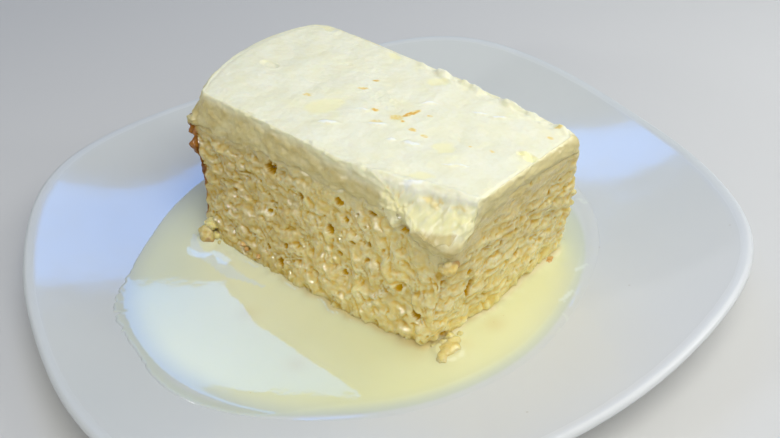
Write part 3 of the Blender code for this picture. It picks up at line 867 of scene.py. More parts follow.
def plate_rule(material):
    """Turns the half section into a plate and draws its coupe out to a rounded square."""
    rule = Rule("rounded square coupe")
    steps = rule.size("Steps Round", 288, "NodeSocketInt")
    spine = rule.size("Turning Radius", 0.05)
    rim = rule.size("Rim Radius", RIM_RADIUS)
    well = rule.size("Well Radius", WELL_RADIUS)
    square = rule.size("Squareness", RIM_SQUARE)
    tighten = [rule.size(f"Corner Tightness {i + 1}", v) for i, v in enumerate(RIM_TIGHTEN)]
    lift = rule.size("Corner Lift", CORNER_LIFT)
    section = rule.step("GeometryNodeMeshToCurve", n0=rule.start.outputs["Geometry"]).outputs[0]
    circle = rule.step("GeometryNodeCurvePrimitiveCircle", Resolution=steps, Radius=spine).outputs[0]
    body = rule.step("GeometryNodeCurveToMesh", n0=circle, n1=section).outputs[0]
    merged = rule.step("GeometryNodeMergeByDistance", Geometry=body, Distance=0.000001).outputs[0]
    place = rule.step("GeometryNodeInputPosition").outputs[0]
    x, y, _ = rule.step("ShaderNodeSeparateXYZ", n0=place).outputs
    radius = rule.maths("SQRT", rule.maths("ADD", rule.times(x, x), rule.times(y, y)))
    turn = rule.maths("SUBTRACT", rule.maths("ARCTAN2", y, x), math.pi / 4)
    share = rule.maths("DIVIDE", rule.maths("SUBTRACT", radius, well), rule.maths("SUBTRACT", rim, well))
    share = rule.maths("MINIMUM", rule.maths("MAXIMUM", share, 0.0), 1.0)
    wave = rule.times(square, rule.maths("COSINE", rule.times(turn, 4.0)))
    for order, amount in enumerate(tighten, start=2):
        own = rule.maths("COSINE", rule.times(turn, 4.0 * order))
        wave = rule.maths("ADD", wave, rule.times(amount, own))
    grow = rule.times(wave, share)
    rise = rule.times(lift, rule.maths("COSINE", rule.times(turn, 4.0)))
    rise = rule.times(rise, rule.times(share, share))
    off = rule.step(
        "ShaderNodeCombineXYZ", n0=rule.times(x, grow), n1=rule.times(y, grow), n2=rise
    )
    moved = rule.step("GeometryNodeSetPosition", Geometry=merged, Offset=off.outputs[0]).outputs[0]
    rule.finished(moved, material)
    return rule


def make_plate(material):
    profile = plate_profile()
    points = [(r - 0.05, -z, 0.0) for r, z in profile]
    section = helper("plate section", points, [(i, i + 1) for i in range(len(points) - 1)])
    plate = plate_rule(material).made_from(section, "coupe_plate")
    bpy.data.objects.remove(section, do_unlink=True)
    x, y, _ = np.array([v.co for v in plate.data.vertices]).T
    radius = np.hypot(x, y) / rim_share(np.arctan2(y, x))
    mark(plate, "lip", ease((radius - 0.1055) / 0.002))
    return plate


# Slice


def cream_start(a, b):
    """Share of the height at which the cream begins on the sides, before its ragged edge."""
    p = np.stack([a * 5, b * 3, np.zeros_like(a)], axis=-1)
    level = CREAM_START + CREAM_START_SLOPE * a * np.abs(a) + 0.012 * grain(p, 1.0, 5)
    right = ease((a - 0.96) / 0.04) * ease((b + 0.8) / 0.4)
    level = level + 0.035 * right
    off = np.hypot((1 - a) * HALF_LENGTH, (1 + b) * HALF_WIDTH)
    return level - CREAM_TONGUE * ease(1 - off / TONGUE_REACH)


def pit_shape(place, h, half, pits, points):
    """Depth in mm of the named pits of one face."""
    depth = np.zeros(place.shape)
    rag = 0.45 * grain(points, 1.7, 71) + 0.25 * grain(points, 0.8, 72)
    for at, height, width, tall, deep in pits:
        u = (place - at) * half * 1000 / (width / 2)
        v = (h - height) * HEIGHT * 1000 / (tall / 2)
        r = np.sqrt(u * u + v * v) + rag
        depth = np.maximum(depth, deep * ease((1.12 - r) * 1.9))
    return depth


def hollows(relief, cells):
    """How far each place stands over (1) or under (0) what lies round it, on a closed grid."""
    around_it = np.zeros_like(relief)
    count = 0
    for down in range(-cells, cells + 1):
        rows = np.clip(np.arange(len(relief)) + down, 0, len(relief) - 1)
        for off in range(-cells, cells + 1):
            if down * down + off * off <= cells * cells:
                around_it += np.roll(relief[rows], off, axis=1)
                count += 1
    return relief - around_it / count


def corner_distance(a, b):
    """Distance in mm from the near right upright edge."""
    return np.hypot((1 - a) * HALF_LENGTH, (1 + b) * HALF_WIDTH) * 1000


def crags(a, b, h, p, bend, streaky):
    """Torn lumps with slits between, in mm: in level layers where streaky, else crossed by steep slits."""
    bent = p + np.stack(bend, axis=-1)
    coarse = streaky * knobs(bent, (5.6, 5.6, 2.2), 23) + (1 - streaky) * knobs(bent, (3.6, 3.6, 3.2), 21)
    fine = knobs(bent, (1.9, 1.9, 1.5), 33)
    tears = np.minimum(grain(bent, (6.0, 6.0, 3.6), 35) + 0.28, 0)
    run = np.where(a > 0.999, (1 + b) * HALF_WIDTH, (a - 1) * HALF_LENGTH) * 1000 + bend[0]
    rise = h * HEIGHT * 1000 + bend[1]
    steep = np.stack([run + 0.45 * rise, 0.28 * (rise - 0.45 * run), 0 * run], axis=-1)
    level = np.stack([0.25 * run, rise, 0 * run], axis=-1)
    steep_slits = ease(1 - np.abs(grain(steep, 2.2, 24)) / 0.16) * ease(0.2 + 2.2 * grain(p, 3.4, 25))
    level_slits = ease(1 - np.abs(grain(level, 1.5, 26)) / 0.20) * ease(0.2 + 2.0 * grain(p, 4.2, 27))
    slits = (1 - streaky) * steep_slits + streaky * level_slits
    bold = 0.70 + 0.6 * ease(0.5 + layers(p, (8.0, 8.0, 6.0), 2, 39))
    lumps = COARSE_LUMPS * (coarse - 0.65) + FINE_LUMPS * (fine - 0.65) - SLIT_DEPTH * slits
    rough = 0.13 * layers(p, (2.2, 2.2, 1.8), 3, 37, 0.6)
    return 0.9 * layers(p, 9.0, 2, 3) + bold * lumps + rough + 0.9 * tears


def pore_depth(bent, p):
    """Small scattered pores of the crumb, in mm."""
    away, own = nearest_cell(bent, (2.9, 2.9, 3.3), 57)
    size = 0.05 + 0.25 * own[0] ** 2.6 + 0.04 * grain(p, 1.0, 58)
    return ease(1.15 - away / np.maximum(size, 0.01)) * (0.6 + 1.1 * own[1])


def ragged_foot(relief, h, p, off):
    """Turns the relief into soft teeth at the foot, fills its tuck and cuts the near right corner back."""
    foot = ease(1 - h / 0.13)
    teeth = 1.7 * grain(p, (4.2, 4.2, 9.0), 63) + grain(p, (1.9, 1.9, 4.0), 64)
    teeth = teeth + 0.6 * knobs(p, 2.4, 65)
    relief = relief * (1 - 0.4 * foot) + foot * np.clip(teeth - 0.4, -1.2, 1.8)
    relief = relief + 1.7 * np.maximum(1 - h / 0.09, 0) ** 2
    return relief - 2.2 * ease(1 - off / 9) * ease(1 - h / 0.16)


def side_facts(a, b, h, points):
    """Relief of the torn crumb in mm, and what the material reads of each place."""
    p = points * 1000
    near = ease((-b - 0.985) / 0.015)
    right = ease((a - 0.985) / 0.015)
    pan = ease((-a - 0.97) / 0.03)
    off = corner_distance(a, b)
    below = (cream_start(a, b) - h) * HEIGHT * 1000
    smooth = ease(1 - off / 20) * ease(1 - (below - 5) / 6) * 0.9
    smooth = np.maximum(smooth, 0.85 * ease(1.1 - below / (6.0 + 7.0 * right + 2.0 * grain(p, 7.0, 8))))
    smooth = np.maximum(smooth, 0.5 * pan)
    bend = [1.1 * grain(p, 4.0, 11 + i) + 0.5 * grain(p, 1.5, 14 + i) for i in range(3)]
    streaky = ease(0.5 - 0.8 * a * near + 1.1 * (h - 0.45) + 0.35 * right + 0.6 * grain(p, 11, 9))
    pores = pore_depth(p + np.stack(bend, axis=-1), p)
    relief = crags(a, b, h, p, bend, streaky) * (1 - 0.85 * smooth) - pores * (1 - 0.6 * smooth)
    named = pit_shape(a, h, HALF_LENGTH, NEAR_PITS, p) * near
    named = named + pit_shape(b, h, HALF_WIDTH, RIGHT_PITS, p) * right
    relief = ragged_foot(relief - 0.75 * named, h, p, off)
    relief = relief + 1.3 * np.maximum(grain(p, (2.6, 2.6, 2.2), 67), 0) * right * ease((b - 0.7) / 0.2)
    burnt = ease((-a - 0.96) / 0.03) * ease((-b - 0.80) / 0.15) * ease((h - 0.40) / 0.1)
    relief = relief + burnt * (1.0 + 2.8 * np.maximum(grain(p, (2.6, 2.6, 3.0), 93), -0.35))

    def off_spot(spot_a, spot_h, wide, tall):
        return np.hypot((a - spot_a) * HALF_LENGTH * 1000 / wide, (h - spot_h) * HEIGHT * 1000 / tall)

    ragged = grain(p, (3.0, 3.0, 2.2), 91)
    # Painted shade in the pits, joined by the orange stain under the front corner
    pit = np.clip(1.0 * ease(named / 1.0) + 0.7 * ease(pores / 1.1) * (1 - 0.6 * smooth), 0, 1)
    stain = off_spot(*CORNER_STAIN) + 0.5 * grain(p, 1.2, 95)
    pit = np.maximum(pit, 0.75 * near * ease(1.3 - stain))
    wet = ease(1 - h / 0.25) * 0.8 + 0.45 * ease(grain(p, 9, 81) + 0.3) * ease(0.6 + 0.7 * a)
    crust = ease((-a - 0.955 + 0.03 * ragged + 0.02 * burnt) / 0.03)
    cream_drop = off_spot(*CREAM_DROP) + 0.3 * ragged
    smear = np.maximum(smooth * (1 - pan), 0.9 * near * ease(1.6 - cream_drop))
    # Painted shade: darker towards the near face's left end and up the right face
    painted_shade = near * ease((0.50 - a) / 1.1) + 0.7 * right * ease((h - 0.22) / 0.40)
    return relief, {"pit": pit, "crust": crust, "wet": wet, "smear": smear, "painted_shade": painted_shade}


def make_sponge(material):
    rows = 104
    a, b = around(258, 158)
    share = np.linspace(0, 1, rows)[:, None]
    h = share * (cream_start(a, b) - 0.01)
    a, b = np.broadcast_to(a, h.shape), np.broadcast_to(b, h.shape)
    points = block(a, b, h)
    relief, facts = side_facts(a, b, h, points)
    # How far the relief stands out; the material paints shade in the hollows from this
    facts["knob"] = ease(0.56 + 0.75 * hollows(relief, 4) + 0.45 * hollows(relief, 2))
    hidden = ease((share - 0.97) / 0.03)
    relief = relief * (1 - hidden) - 0.8 * hidden
    points = points + side_normals(points) * (relief * MM)[..., None]
    points[..., 2] = np.maximum(points[..., 2], WELL_HEIGHT + 0.0002)
    centre = block(0.0, 0.0, 0.5)
    floor = [points[0] + (centre - points[0]) * s * (1, 1, 0) for s in (0.7, 0.25)]
    lid = [points[-1] + (centre - points[-1]) * s * (1, 1, 0) for s in (0.15, 0.6)]
    rings = np.concatenate([np.array(floor[::-1]), points, np.array(lid)])
    columns = a.shape[1]
    count = len(rings) * columns
    poles = np.array([[*centre[:2], points[0, 0, 2]], [*centre[:2], points[-1, :, 2].mean()]])
    faces = band_faces(0, len(rings), columns)
    faces += fan_faces(np.arange(columns), count, False)
    faces += fan_faces(np.arange(count - columns, count), count + 1, True)
    sponge = piece("soaked_sponge", np.concatenate([rings.reshape(-1, 3), poles]), faces, material)
    for name, values in facts.items():
        values = np.clip(values, 0, 1)
        spread = np.pad(values, ((2, 2), (0, 0)), mode="edge")
        mark(sponge, name, np.concatenate([spread.ravel(), [0.0, 0.0]]))
    return sponge


def spot(a, b, place, size, turn=0.0):
    """1 in the middle of an oval place on the top and 0 at its edge; place and half sizes in mm."""
    u, v = a * HALF_LENGTH * 1000 - place[0], b * HALF_WIDTH * 1000 - place[1]
    c, s = math.cos(turn), math.sin(turn)
    return ease(1 - np.hypot((u * c + v * s) / size[0], (-u * s + v * c) / size[1]))


def spatula_marks(u, v, flat):
    """Fine strokes and creases left by the spatula, and a pebbled band across the middle, in mm."""
    stroke = np.stack([u * 0.96 + v * 0.28, -u * 0.28 + v * 0.96, np.zeros_like(u)], axis=-1)
    marks = 0.07 * grain(stroke, (9.0, 0.95, 1), 107) * ease(0.5 - u / HALF_LENGTH / 1000)
    marks = marks + 0.04 * grain(stroke, (1.4, 6.0, 1), 109)
    crease = np.abs(grain(stroke, (8.0, 3.2, 1), 111))
    marks = marks + 0.16 * ease(1 - crease / 0.055) * ease(grain(flat, 9.0, 112) * 3 + 0.1)
    band = ease(1 - np.abs((v - 6 + 0.22 * (u + 12)) / 7)) * ease(1 - np.abs((u + 2) / 22))
    return marks + 0.55 * (np.abs(grain(flat, 1.5, 113)) - 0.2) * band


def far_lumps(u, v, flat):
    """Ragged lumps along the far edge, in mm."""
    rough = 2.9 * np.maximum(grain(flat, (6.0, 2.8, 1), 121) + 0.15, 0)
    rough = rough + 1.0 * np.maximum(grain(flat, (2.2, 1.4, 1), 122), 0)
    far = ease((v - 24) / 5) * ease(u / 12 + 0.9) * ease((47.0 - u) / 3)
    return (np.minimum(rough, 1.9) - 0.5) * far


def top_facts(a, b, points):
    """Height of the spread cream's top in mm over its level, how yellow and brown it is, and where a gleam
    is painted on.
    """
    p = points * 1000 * (1, 1, 0)
    u = a * HALF_LENGTH * 1000
    v = b * HALF_WIDTH * 1000
    flat = np.stack([u, v, np.zeros_like(u)], axis=-1)
    relief = 0.45 * layers(p, 13.0, 2, 101) + 0.12 * layers(p, 3.4, 3, 103) + spatula_marks(u, v, flat)
    yellow = 0.25 * ease(layers(flat, 9.0, 2, 117) * 1.2)
    wavy = layers(flat, 4.5, 2, 119)
    for number, (place, size) in enumerate(TOP_PATCHES):
        share = spot(a + 0.035 * wavy, b + 0.06 * wavy, place, size, 0.3 * number)
        relief = relief * (1 - 0.7 * share) - 0.16 * share
        yellow = np.maximum(yellow, 0.75 * ease(share * 1.6))
    painted_gleam = np.zeros_like(u)
    for place, size in TOP_RIDGES:
        share = spot(a + 0.012 * wavy, b - 0.02 * wavy, place, size, RIDGE_TURN)
        relief = relief + 0.6 * share
        yellow = yellow * (1 - share)
        # Painted gleam along the ridges
        painted_gleam = np.maximum(painted_gleam, 0.8 * ease(2.2 * share + 0.7 * grain(flat, 1.6, 125) - 0.5))
    crater = spot(a, b, *CRATER)
    relief = relief - 0.5 * crater + 0.35 * ease(1 - np.abs(crater - 0.25) / 0.22) * (crater > 0)
    bits = ease(2 * spot(a, b, *BROKEN_BITS, 0.2))
    relief = relief + far_lumps(u, v, flat) + 1.8 * bits * (knobs(flat, 1.5, 129) - 0.45)
    yellow = np.maximum(yellow, bits)
    brown = np.zeros_like(u)
    for place, size, turn, deep in TOP_STREAKS:
        share = spot(a, b, place, size, turn) * (0.75 + 1.1 * grain(flat, 0.9, 127))
        brown = np.maximum(brown, np.clip(share * 2.2, 0, 1) * deep)
    return relief, {"yellow": yellow, "brown": brown, "painted_gleam": painted_gleam}


def past_break(a, b):
    """Distance in mm beyond the line along which the front corner has broken down."""
    return (a * HALF_LENGTH * 1000 - 25.6) * 0.317 - (b * HALF_WIDTH * 1000 + 28.4) * 0.948


def broken(a, b):
    """Height in mm lost at the broken corner, and how far past the ragged break a place lies."""
    flat = np.stack([a * HALF_LENGTH, b * HALF_WIDTH, 0 * a], axis=-1) * 1000
    past = past_break(a, b) + 1.0 * grain(flat, 4.2, 131) + 0.5 * grain(flat, 1.7, 132)
    steep = 1.25 + 0.9 * ease((1 - a) / 0.2)
    return steep * np.logaddexp(0, past / 0.3) * 0.3 + 0.7 * ease(past / 0.5), past


def facet(a, b, h):
    """1 on the pale upper part of the broken corner, 0 on the soft nose under it, which keeps the sides'
    painted shade.
    """
    edge = 0.855 - (0.35 * (1 - a) * HALF_LENGTH + 0.57 * (1 + b) * HALF_WIDTH) / HEIGHT
    ragged = 0.008 * grain(np.stack([a * 13, b * 8, h * 0], axis=-1), 1.0, 139)
    return ease((h - edge - ragged) / 0.02)


def edge_radius(a, b):
    """How round the cream's upper edge is, in mm: crisp along the near side."""
    near = ease((-b - 0.6) / 0.4)
    left = ease((-a - 0.7) / 0.3)
    return 1.1 - 0.65 * near + 0.8 * left + 1.0 * ease(past_break(a, b) / 3.0)


def rounded_top(a, b):
    """Draws the outer cells of the top in and down round its edge."""
    radius = edge_radius(a, b)
    moved, drops = [], []
    for share, half in ((a, HALF_LENGTH), (b, HALF_WIDTH)):
        inside = (1 - np.abs(share)) * half * 1000
        turn = math.pi / 4 * (1 + np.clip(inside / radius, 0, 1))
        shift = np.where(inside < radius, radius * (1 - np.cos(turn)) - inside, 0.0)
        drops.append(np.where(inside < radius, radius * (1 - np.sin(turn)), 0.0))
        moved.append(share - np.sign(share) * shift / half / 1000)
    return moved[0], moved[1], np.hypot(*drops)


def worn(points, past, h, edge):
    """Notches the near edge, puts curds under the break and a soft swollen foot below them.

    It also tells how broken each place is, and how far it lies down between the curds.
    """
    q = points * 1000
    fall = ease(past / 0.9) * ease((h - 0.70) / 0.05)
    curd = knobs(q, 1.4, 134)
    curds = 1.7 * (knobs(q, 3.0, 133) - 0.6) + 1.1 * (curd - 0.6)
    upper = np.maximum(ease((4.4 - past) / 2.2), 0.8 * ease((h - 0.845) / 0.03))
    lumps = upper * curds * (0.3 + 0.7 * ease((h - 0.79) / 0.06))
    lumps = lumps + (1 - upper) * 0.3 * layers(q, 3.0, 2, 135)
    away = in_plate(0.317, -0.948, 0.0) - in_plate(0.0, 0.0, 0.0)
    swelling = 1.6 * ease(past / 3.0) * np.exp(-(((h - 0.755) / 0.065) ** 2))
    mound = 0.9 * np.exp(-(((past + 1.9) / 1.5) ** 2)) * ease((h - 0.98) / 0.02)
    outward = away * 0.75 + np.array([0, 0, 0.65])
    moved = points + (outward * (fall * lumps)[..., None] + away * swelling[..., None]) * MM
    notch = 0.9 * grain(q * (1, 1, 0), 2.6, 153) + 0.5 * grain(q * (1, 1, 0), 1.1, 155)
    notch = np.clip(notch, -0.9, 0.25) * edge * ease(-past / 1.0)
    moved = moved + (away * 0.8 + np.array([0, 0, 0.5])) * (notch * MM)[..., None]
    moved[..., 2] += mound * MM
    return moved, fall, fall * (1 - curd)


def cream_top(cells_long, cells_wide):
    """The top as a grid of points, and what the material reads of each."""
    lines = np.linspace(-1, 1, cells_long + 1), np.linspace(-1, 1, cells_wide + 1)
    a, b = np.meshgrid(*lines, indexing="ij")
    drawn_a, drawn_b, drop = rounded_top(a, b)
    lost, past = broken(a, b)
    level = 1.0 - (drop + lost) / (HEIGHT * 1000)
    top = block(drawn_a, drawn_b, level)
    relief, facts = top_facts(drawn_a, drawn_b, top)
    inside = np.minimum((1 - np.abs(a)) * HALF_LENGTH, (1 - np.abs(b)) * HALF_WIDTH) * 1000
    far = ease(drawn_b * 6 - 4.5) * ease((1 - np.abs(a)) * HALF_LENGTH * 1000 / 2)
    held = np.maximum(ease(0.35 + inside / 1.5), far)
    top[..., 2] += (relief * held - 0.35) * (1 - ease(past / 0.8)) * MM
    top, fall, dip = worn(top, past, level, np.exp(-(1 + b) * HALF_WIDTH * 1000 / 1.1))
    pale = facet(a, b, (top[..., 2] - BASE_HEIGHT) / HEIGHT)
    crack = np.exp(-(((past - 1.0 - 0.7 * grain(top * 1000, 3.0, 136)) / 0.30) ** 2))
    crack = crack * ease(3 * grain(top * 1000, 4.0, 137) + 1.0)
    facts["brown"] = np.maximum(facts["brown"], 0.36 * crack)
    facts["yellow"] = np.maximum(facts["yellow"], fall * (0.4 + 1.2 * dip))
    # Painted gleam along the break
    facts["painted_gleam"] = np.maximum(facts["painted_gleam"], 0.3 * np.exp(-(((past - 0.9) / 1.0) ** 2)))
    # Painted shade on the soft nose under the broken corner
    facts["side"] = 0.9 * fall * (1 - pale)
    facts["end"] = np.zeros(a.shape)
    return top, facts


def cream_wall(cells_long, cells_wide):
    """Rings of points up the cream's sides, thin and torn at their foot, and what the material reads."""
    rows = 40
    a, b = around(cells_long, cells_wide)
    start = cream_start(a, b)
    share = np.linspace(0, 1, rows)[:-1, None]
    low = start - 0.115
    lost, past = broken(a, b)
    brim = 1 - lost / (HEIGHT * 1000)
    h = low + share * (brim - low)
    a, b, past = (np.broadcast_to(v, h.shape) for v in (a, b, past))
    wall = block(a, b, h)
    torn, _ = side_facts(a, b, h, wall)
    p = wall * 1000
    below = (start - h) * HEIGHT * 1000
    smears = layers(p, (5.0, 5.0, 2.6), 3, 141)
    own = 0.10 + 0.50 * smears + 0.14 * grain(p, 1.3, 143)
    cover = ease((0.4 - below) / 4.6)
    rag = layers(p, (5.5, 5.5, 3.4), 3, 147)
    film = 0.30 - 0.26 * np.maximum(below + 1.0 + 2.6 * rag, -1.2)
    out = own * cover + (torn + np.maximum(film, -2.2)) * (1 - cover)
    radius = edge_radius(a, b)
    depth = (brim - h) * HEIGHT * 1000
    turn = math.pi / 4 * (1 - np.clip(depth / radius, 0, 1))
    out = out * ease(depth / 1.2) - radius * (1 - np.cos(turn))
    lip = np.exp(-(((depth - 0.9) / 0.8) ** 2)) * ease((-b - 0.9) / 0.1) * ease(-past_break(a, b) / 2.0)
    out = out + 0.35 * lip
    wall = wall + side_normals(wall) * (out * MM)[..., None]
    wall, fall, dip = worn(wall, past, h, np.exp(-depth / 1.1) * ease((-b - 0.99) / 0.01))
    fall = fall * facet(a, b, h)
    right = ease((a - 0.985) / 0.015) * ease((b + 0.9) / 0.3) * (1 - fall)
    # Painted shade down the cream's sides, partly their own beige where they meet the crumb
    shade = ease((below + 9.5 - 2.5 * a - 0.9 * ease((a + 0.2) / 0.6)) / 5.5) + 0.3 * smears
    facts = {
        "side": np.clip(shade, 0, 1) * (1 - 0.7 * fall),
        "yellow": np.maximum(0.35, fall * (0.5 + 1.2 * dip)),
        "brown": 0.10 * right,
        "painted_gleam": np.zeros(h.shape),
        # Painted shade on the right end
        "end": 0.85 * right * ease(depth / 1.5),
    }
    return wall, facts


def cream_faces(cells_long, cells_wide, rings):
    """Faces of the sides' rings, of the strip between them and the top, of the fan below and of the top."""
    count = (cells_long + 1) * (cells_wide + 1)
    cell = np.arange(count).reshape(cells_long + 1, cells_wide + 1)
    border = np.concatenate([cell[:-1, 0], cell[-1, :-1], cell[:0:-1, -1], cell[0, :0:-1]])
    columns = len(border)
    faces = band_faces(count, rings, columns)
    last = count + (rings - 1) * columns + np.arange(columns)
    faces += np.stack([last, np.roll(last, -1), np.roll(border, -1), border], axis=-1).tolist()
    faces += fan_faces(count + np.arange(columns), count + rings * columns, False)
    quads = np.stack([cell[:-1, :-1], cell[1:, :-1], cell[1:, 1:], cell[:-1, 1:]], axis=-1)
    return faces + quads.reshape(-1, 4).tolist()


def make_cream(material):
    cells = (238, 146)
    top, of_top = cream_top(*cells)
    wall, of_wall = cream_wall(*cells)
    centre = block(0.0, 0.0, 0.84)
    under = [wall[0] + (centre - wall[0]) * s for s in (0.5, 0.15)]
    rings = np.concatenate([np.array(under), wall])
    points = np.concatenate([top.reshape(-1, 3), rings.reshape(-1, 3), centre[None]])
    cream = piece("spread_cream", points, cream_faces(*cells, len(rings)), material)
    for name, values in of_wall.items():
        walls = np.pad(values, ((2, 0), (0, 0)), mode="edge")
        mark(cream, name, np.clip(np.concatenate([of_top[name].ravel(), walls.ravel(), [0.0]]), 0, 1))
    return cream


# Milk


def off_line(x, y, start, end):
    """Distance from a straight line, and the share of its length at which the nearest place on it lies."""
    (x0, y0), (x1, y1) = start, end
    dx, dy = x1 - x0, y1 - y0
    share = np.clip(((x - x0) * dx + (y - y0) * dy) / (dx * dx + dy * dy + 1e-18), 0, 1)
    return np.hypot(x - x0 - share * dx, y - y0 - share * dy), share


def outline_gap(x, y, outline):
    """Distance from points to a closed outline."""
    gap = np.full(x.shape, 1.0)
    for start, end in zip(outline, np.roll(outline, -1, axis=0)):
        gap = np.minimum(gap, off_line(x, y, start, end)[0])
    return gap


def off_stroke(x, y, start, end):
    """Distance from a straight stroke, in half widths; each end is a place and a half width."""
    off, share = off_line(x, y, start[:2], end[:2])
    return off / (start[2] + (end[2] - start[2]) * share)


def milk_edge(angle):
    """How far the milk reaches in each direction, with its notched left edge."""
    circle = np.stack([np.cos(angle), np.sin(angle), np.zeros_like(angle)], axis=-1)
    reach = MILK_RADIUS + sum(lobe(angle, *run) for run in MILK_RUNS)
    reach = reach + 0.0007 * grain(circle * 3, 1.0, 151)
    left = lobe(angle, 1.0, -92.0, 13.0)
    notches = np.maximum(grain(circle * 76, 2.6, 153), 0)
    notches = notches + 0.6 * np.maximum(grain(circle * 76, 1.3, 157), 0)
    return reach - (0.0002 + 0.0021 * left) * notches


def contact_line():
    """Where the torn foot of the sponge meets the milk."""
    a, b = around(170, 104)
    h = np.broadcast_to(np.array([[0.030], [0.042], [0.054]]), (3, len(a)))
    a, b = np.broadcast_to(a, h.shape), np.broadcast_to(b, h.shape)
    points = block(a, b, h)
    relief, _ = side_facts(a, b, h, points)
    line = (points + side_normals(points) * (relief * MM)[..., None])[1, :, :2]
    return np.mean([np.roll(line, step, axis=0) for step in range(-2, 3)], axis=0)


def milk_rings(columns, rows):
    """The milk's rings in plan, from under the slice out to the shore, and how far off the shore is."""
    angle = np.arange(columns) / columns * math.tau
    foot = block(*around(60, 40), 0.05)[:, :2]
    foot_angle = np.unwrap(np.arctan2(foot[:, 1], foot[:, 0]))
    order = np.argsort(foot_angle)
    foot_reach = np.hypot(*foot[order].T)
    under = np.interp(angle, foot_angle[order] % math.tau, foot_reach, period=math.tau) - MILK_UNDER_SLICE
    shore = milk_edge(angle)
    share = np.linspace(0, 1, rows)[:, None]
    share = share - 0.5 * np.sin(math.tau * share) / math.tau
    reach = under + (shore - under) * share
    return reach * np.cos(angle), reach * np.sin(angle), np.maximum(shore - reach, 0)


def milk_surface(x, y, edge, gap):
    """Heights of the plate's floor and of the milk, thin at the shore and drawn up at what stands in it."""
    bed = plate_surface(x, y)
    slope, towards = MILK_TILT
    turn = math.radians(towards)
    level = MILK_LEVEL + slope * (x * math.cos(turn) + y * math.sin(turn))
    thin = MILK_FILM - 0.00022 * ease((edge - 0.001) / 0.004)
    film = thin + np.logaddexp(0, (level - bed - thin) / 0.00007) * 0.00007
    shallow = ease((x + 0.35 * y - 0.030) / 0.020)
    bead = np.clip(edge / (0.0005 + 0.35 * film + 0.0045 * shallow), 0, 1) ** (0.5 + 0.5 * shallow)
    wander = 1 + 0.22 * layers(np.stack([x, y, 0 * x], axis=-1) * 1000, 9.0, 2, 163)
    rise = 0.0014 * np.exp(-gap * wander / 0.0016)
    for (u, v), half in (FRONT_CRUMB, SIDE_CRUMB):
        crumb_x, crumb_y, _ = in_plate(u, v, 0.0)
        off = np.hypot(x - crumb_x, y - crumb_y) - half[0] * 0.95
        rise = np.maximum(rise, 0.0012 * np.exp(-np.maximum(off, 0) / 0.0016))
    return bed, bed + (film + rise) * bead


def milk_facts(surface, bed, gap):
    """What the material reads: the milk's depth, how rich it is, its painted reflections, and its browned
    stains with painted shade along the slice's foot.
    """
    x, y, height = np.moveaxis(surface, -1, 0)
    p = surface * 1000
    rich = 0.075 + x * 0.8 + y * 0.45 + 0.006 * grain(p, 16, 161) + 0.02 * np.exp(-gap / 0.008)
    ragged = grain(p, 3.0, 165)
    torn = grain(p, 1.2, 166)
    painted_reflection = np.zeros_like(x)
    # Painted reflection of the window along the pale streak past the near left foot
    for start, end in zip(MILK_REFLECTION_STREAK, MILK_REFLECTION_STREAK[1:]):
        painted_reflection = np.maximum(painted_reflection, ease((1.6 + 0.15 * ragged - off_stroke(x, y, start, end)) / 0.5))
    # Painted glints of the window near the right edge
    for start, end, wide, strength in MILK_EDGE_GLINTS:
        off = off_stroke(x, y, (*start, wide), (*end, wide))
        painted_reflection = np.maximum(painted_reflection, strength * ease((1.5 + 1.1 * torn - off) / 1.6))
    c, s = math.cos(SLICE_YAW), math.sin(SLICE_YAW)
    along, front = x * c + y * s, x * s - y * c
    # A thin painted reflection along the meniscus at the slice's near foot
    meniscus_glint = np.exp(-(((gap - 0.0010 - 0.0003 * ragged) / 0.00022) ** 2))
    meniscus_glint = meniscus_glint * ease(0.3 + 2.5 * grain(p, 4.5, 169)) * ease((front - 0.020) / 0.004)
    meniscus_glint = meniscus_glint * ease((along + 0.026) / 0.008) * ease((0.034 - along) / 0.008)
    # Painted shade along the slice's foot and under the front corner, where the milk is partly browned by
    # crumb too
    tan = 0.75 * np.exp(-((gap / 0.0024) ** 2)) * ease(1 - np.hypot(x - 0.0555, y + 0.0125) / 0.018)
    tan = np.maximum(tan, 0.55 * np.exp(-((gap / 0.0013) ** 2)) * ease((along + 0.020) / 0.03))
    for (u, v), size, strength in MILK_STAINS:
        tan = np.maximum(tan, strength * np.exp(-(((x - u) ** 2 + (y - v) ** 2) / size**2)))
    return {
        "depth": ease((height - bed) * 1000 / 1.7),
        "rich": np.clip(rich / 0.12, 0, 1),
        "painted_reflection": np.maximum(painted_reflection, 0.85 * meniscus_glint),
        "tan": tan,
    }


def make_milk(material):
    columns, rows = 1040, 78
    x, y, edge = milk_rings(columns, rows)
    gap = outline_gap(x, y, contact_line())
    bed, height = milk_surface(x, y, edge, gap)
    surface = np.stack([x, y, height], axis=-1)
    coarse = np.arange(rows - 1, -1, -7)
    underside = np.stack([x, y, bed - 0.0003], axis=-1)[coarse]
    rings = np.concatenate([underside, surface])
    index = np.arange(len(rings) * columns).reshape(len(rings), columns)
    ahead = np.roll(index, -1, axis=0)
    quads = np.stack([index, ahead, np.roll(ahead, -1, axis=1), np.roll(index, -1, axis=1)], axis=-1)
    milk = piece("milk_pool", rings.reshape(-1, 3), quads.reshape(-1, 4).tolist(), material)
    for name, values in milk_facts(surface, bed, gap).items():
        mark(milk, name, np.concatenate([values[coarse], values]))
    return milk


# Crumbs


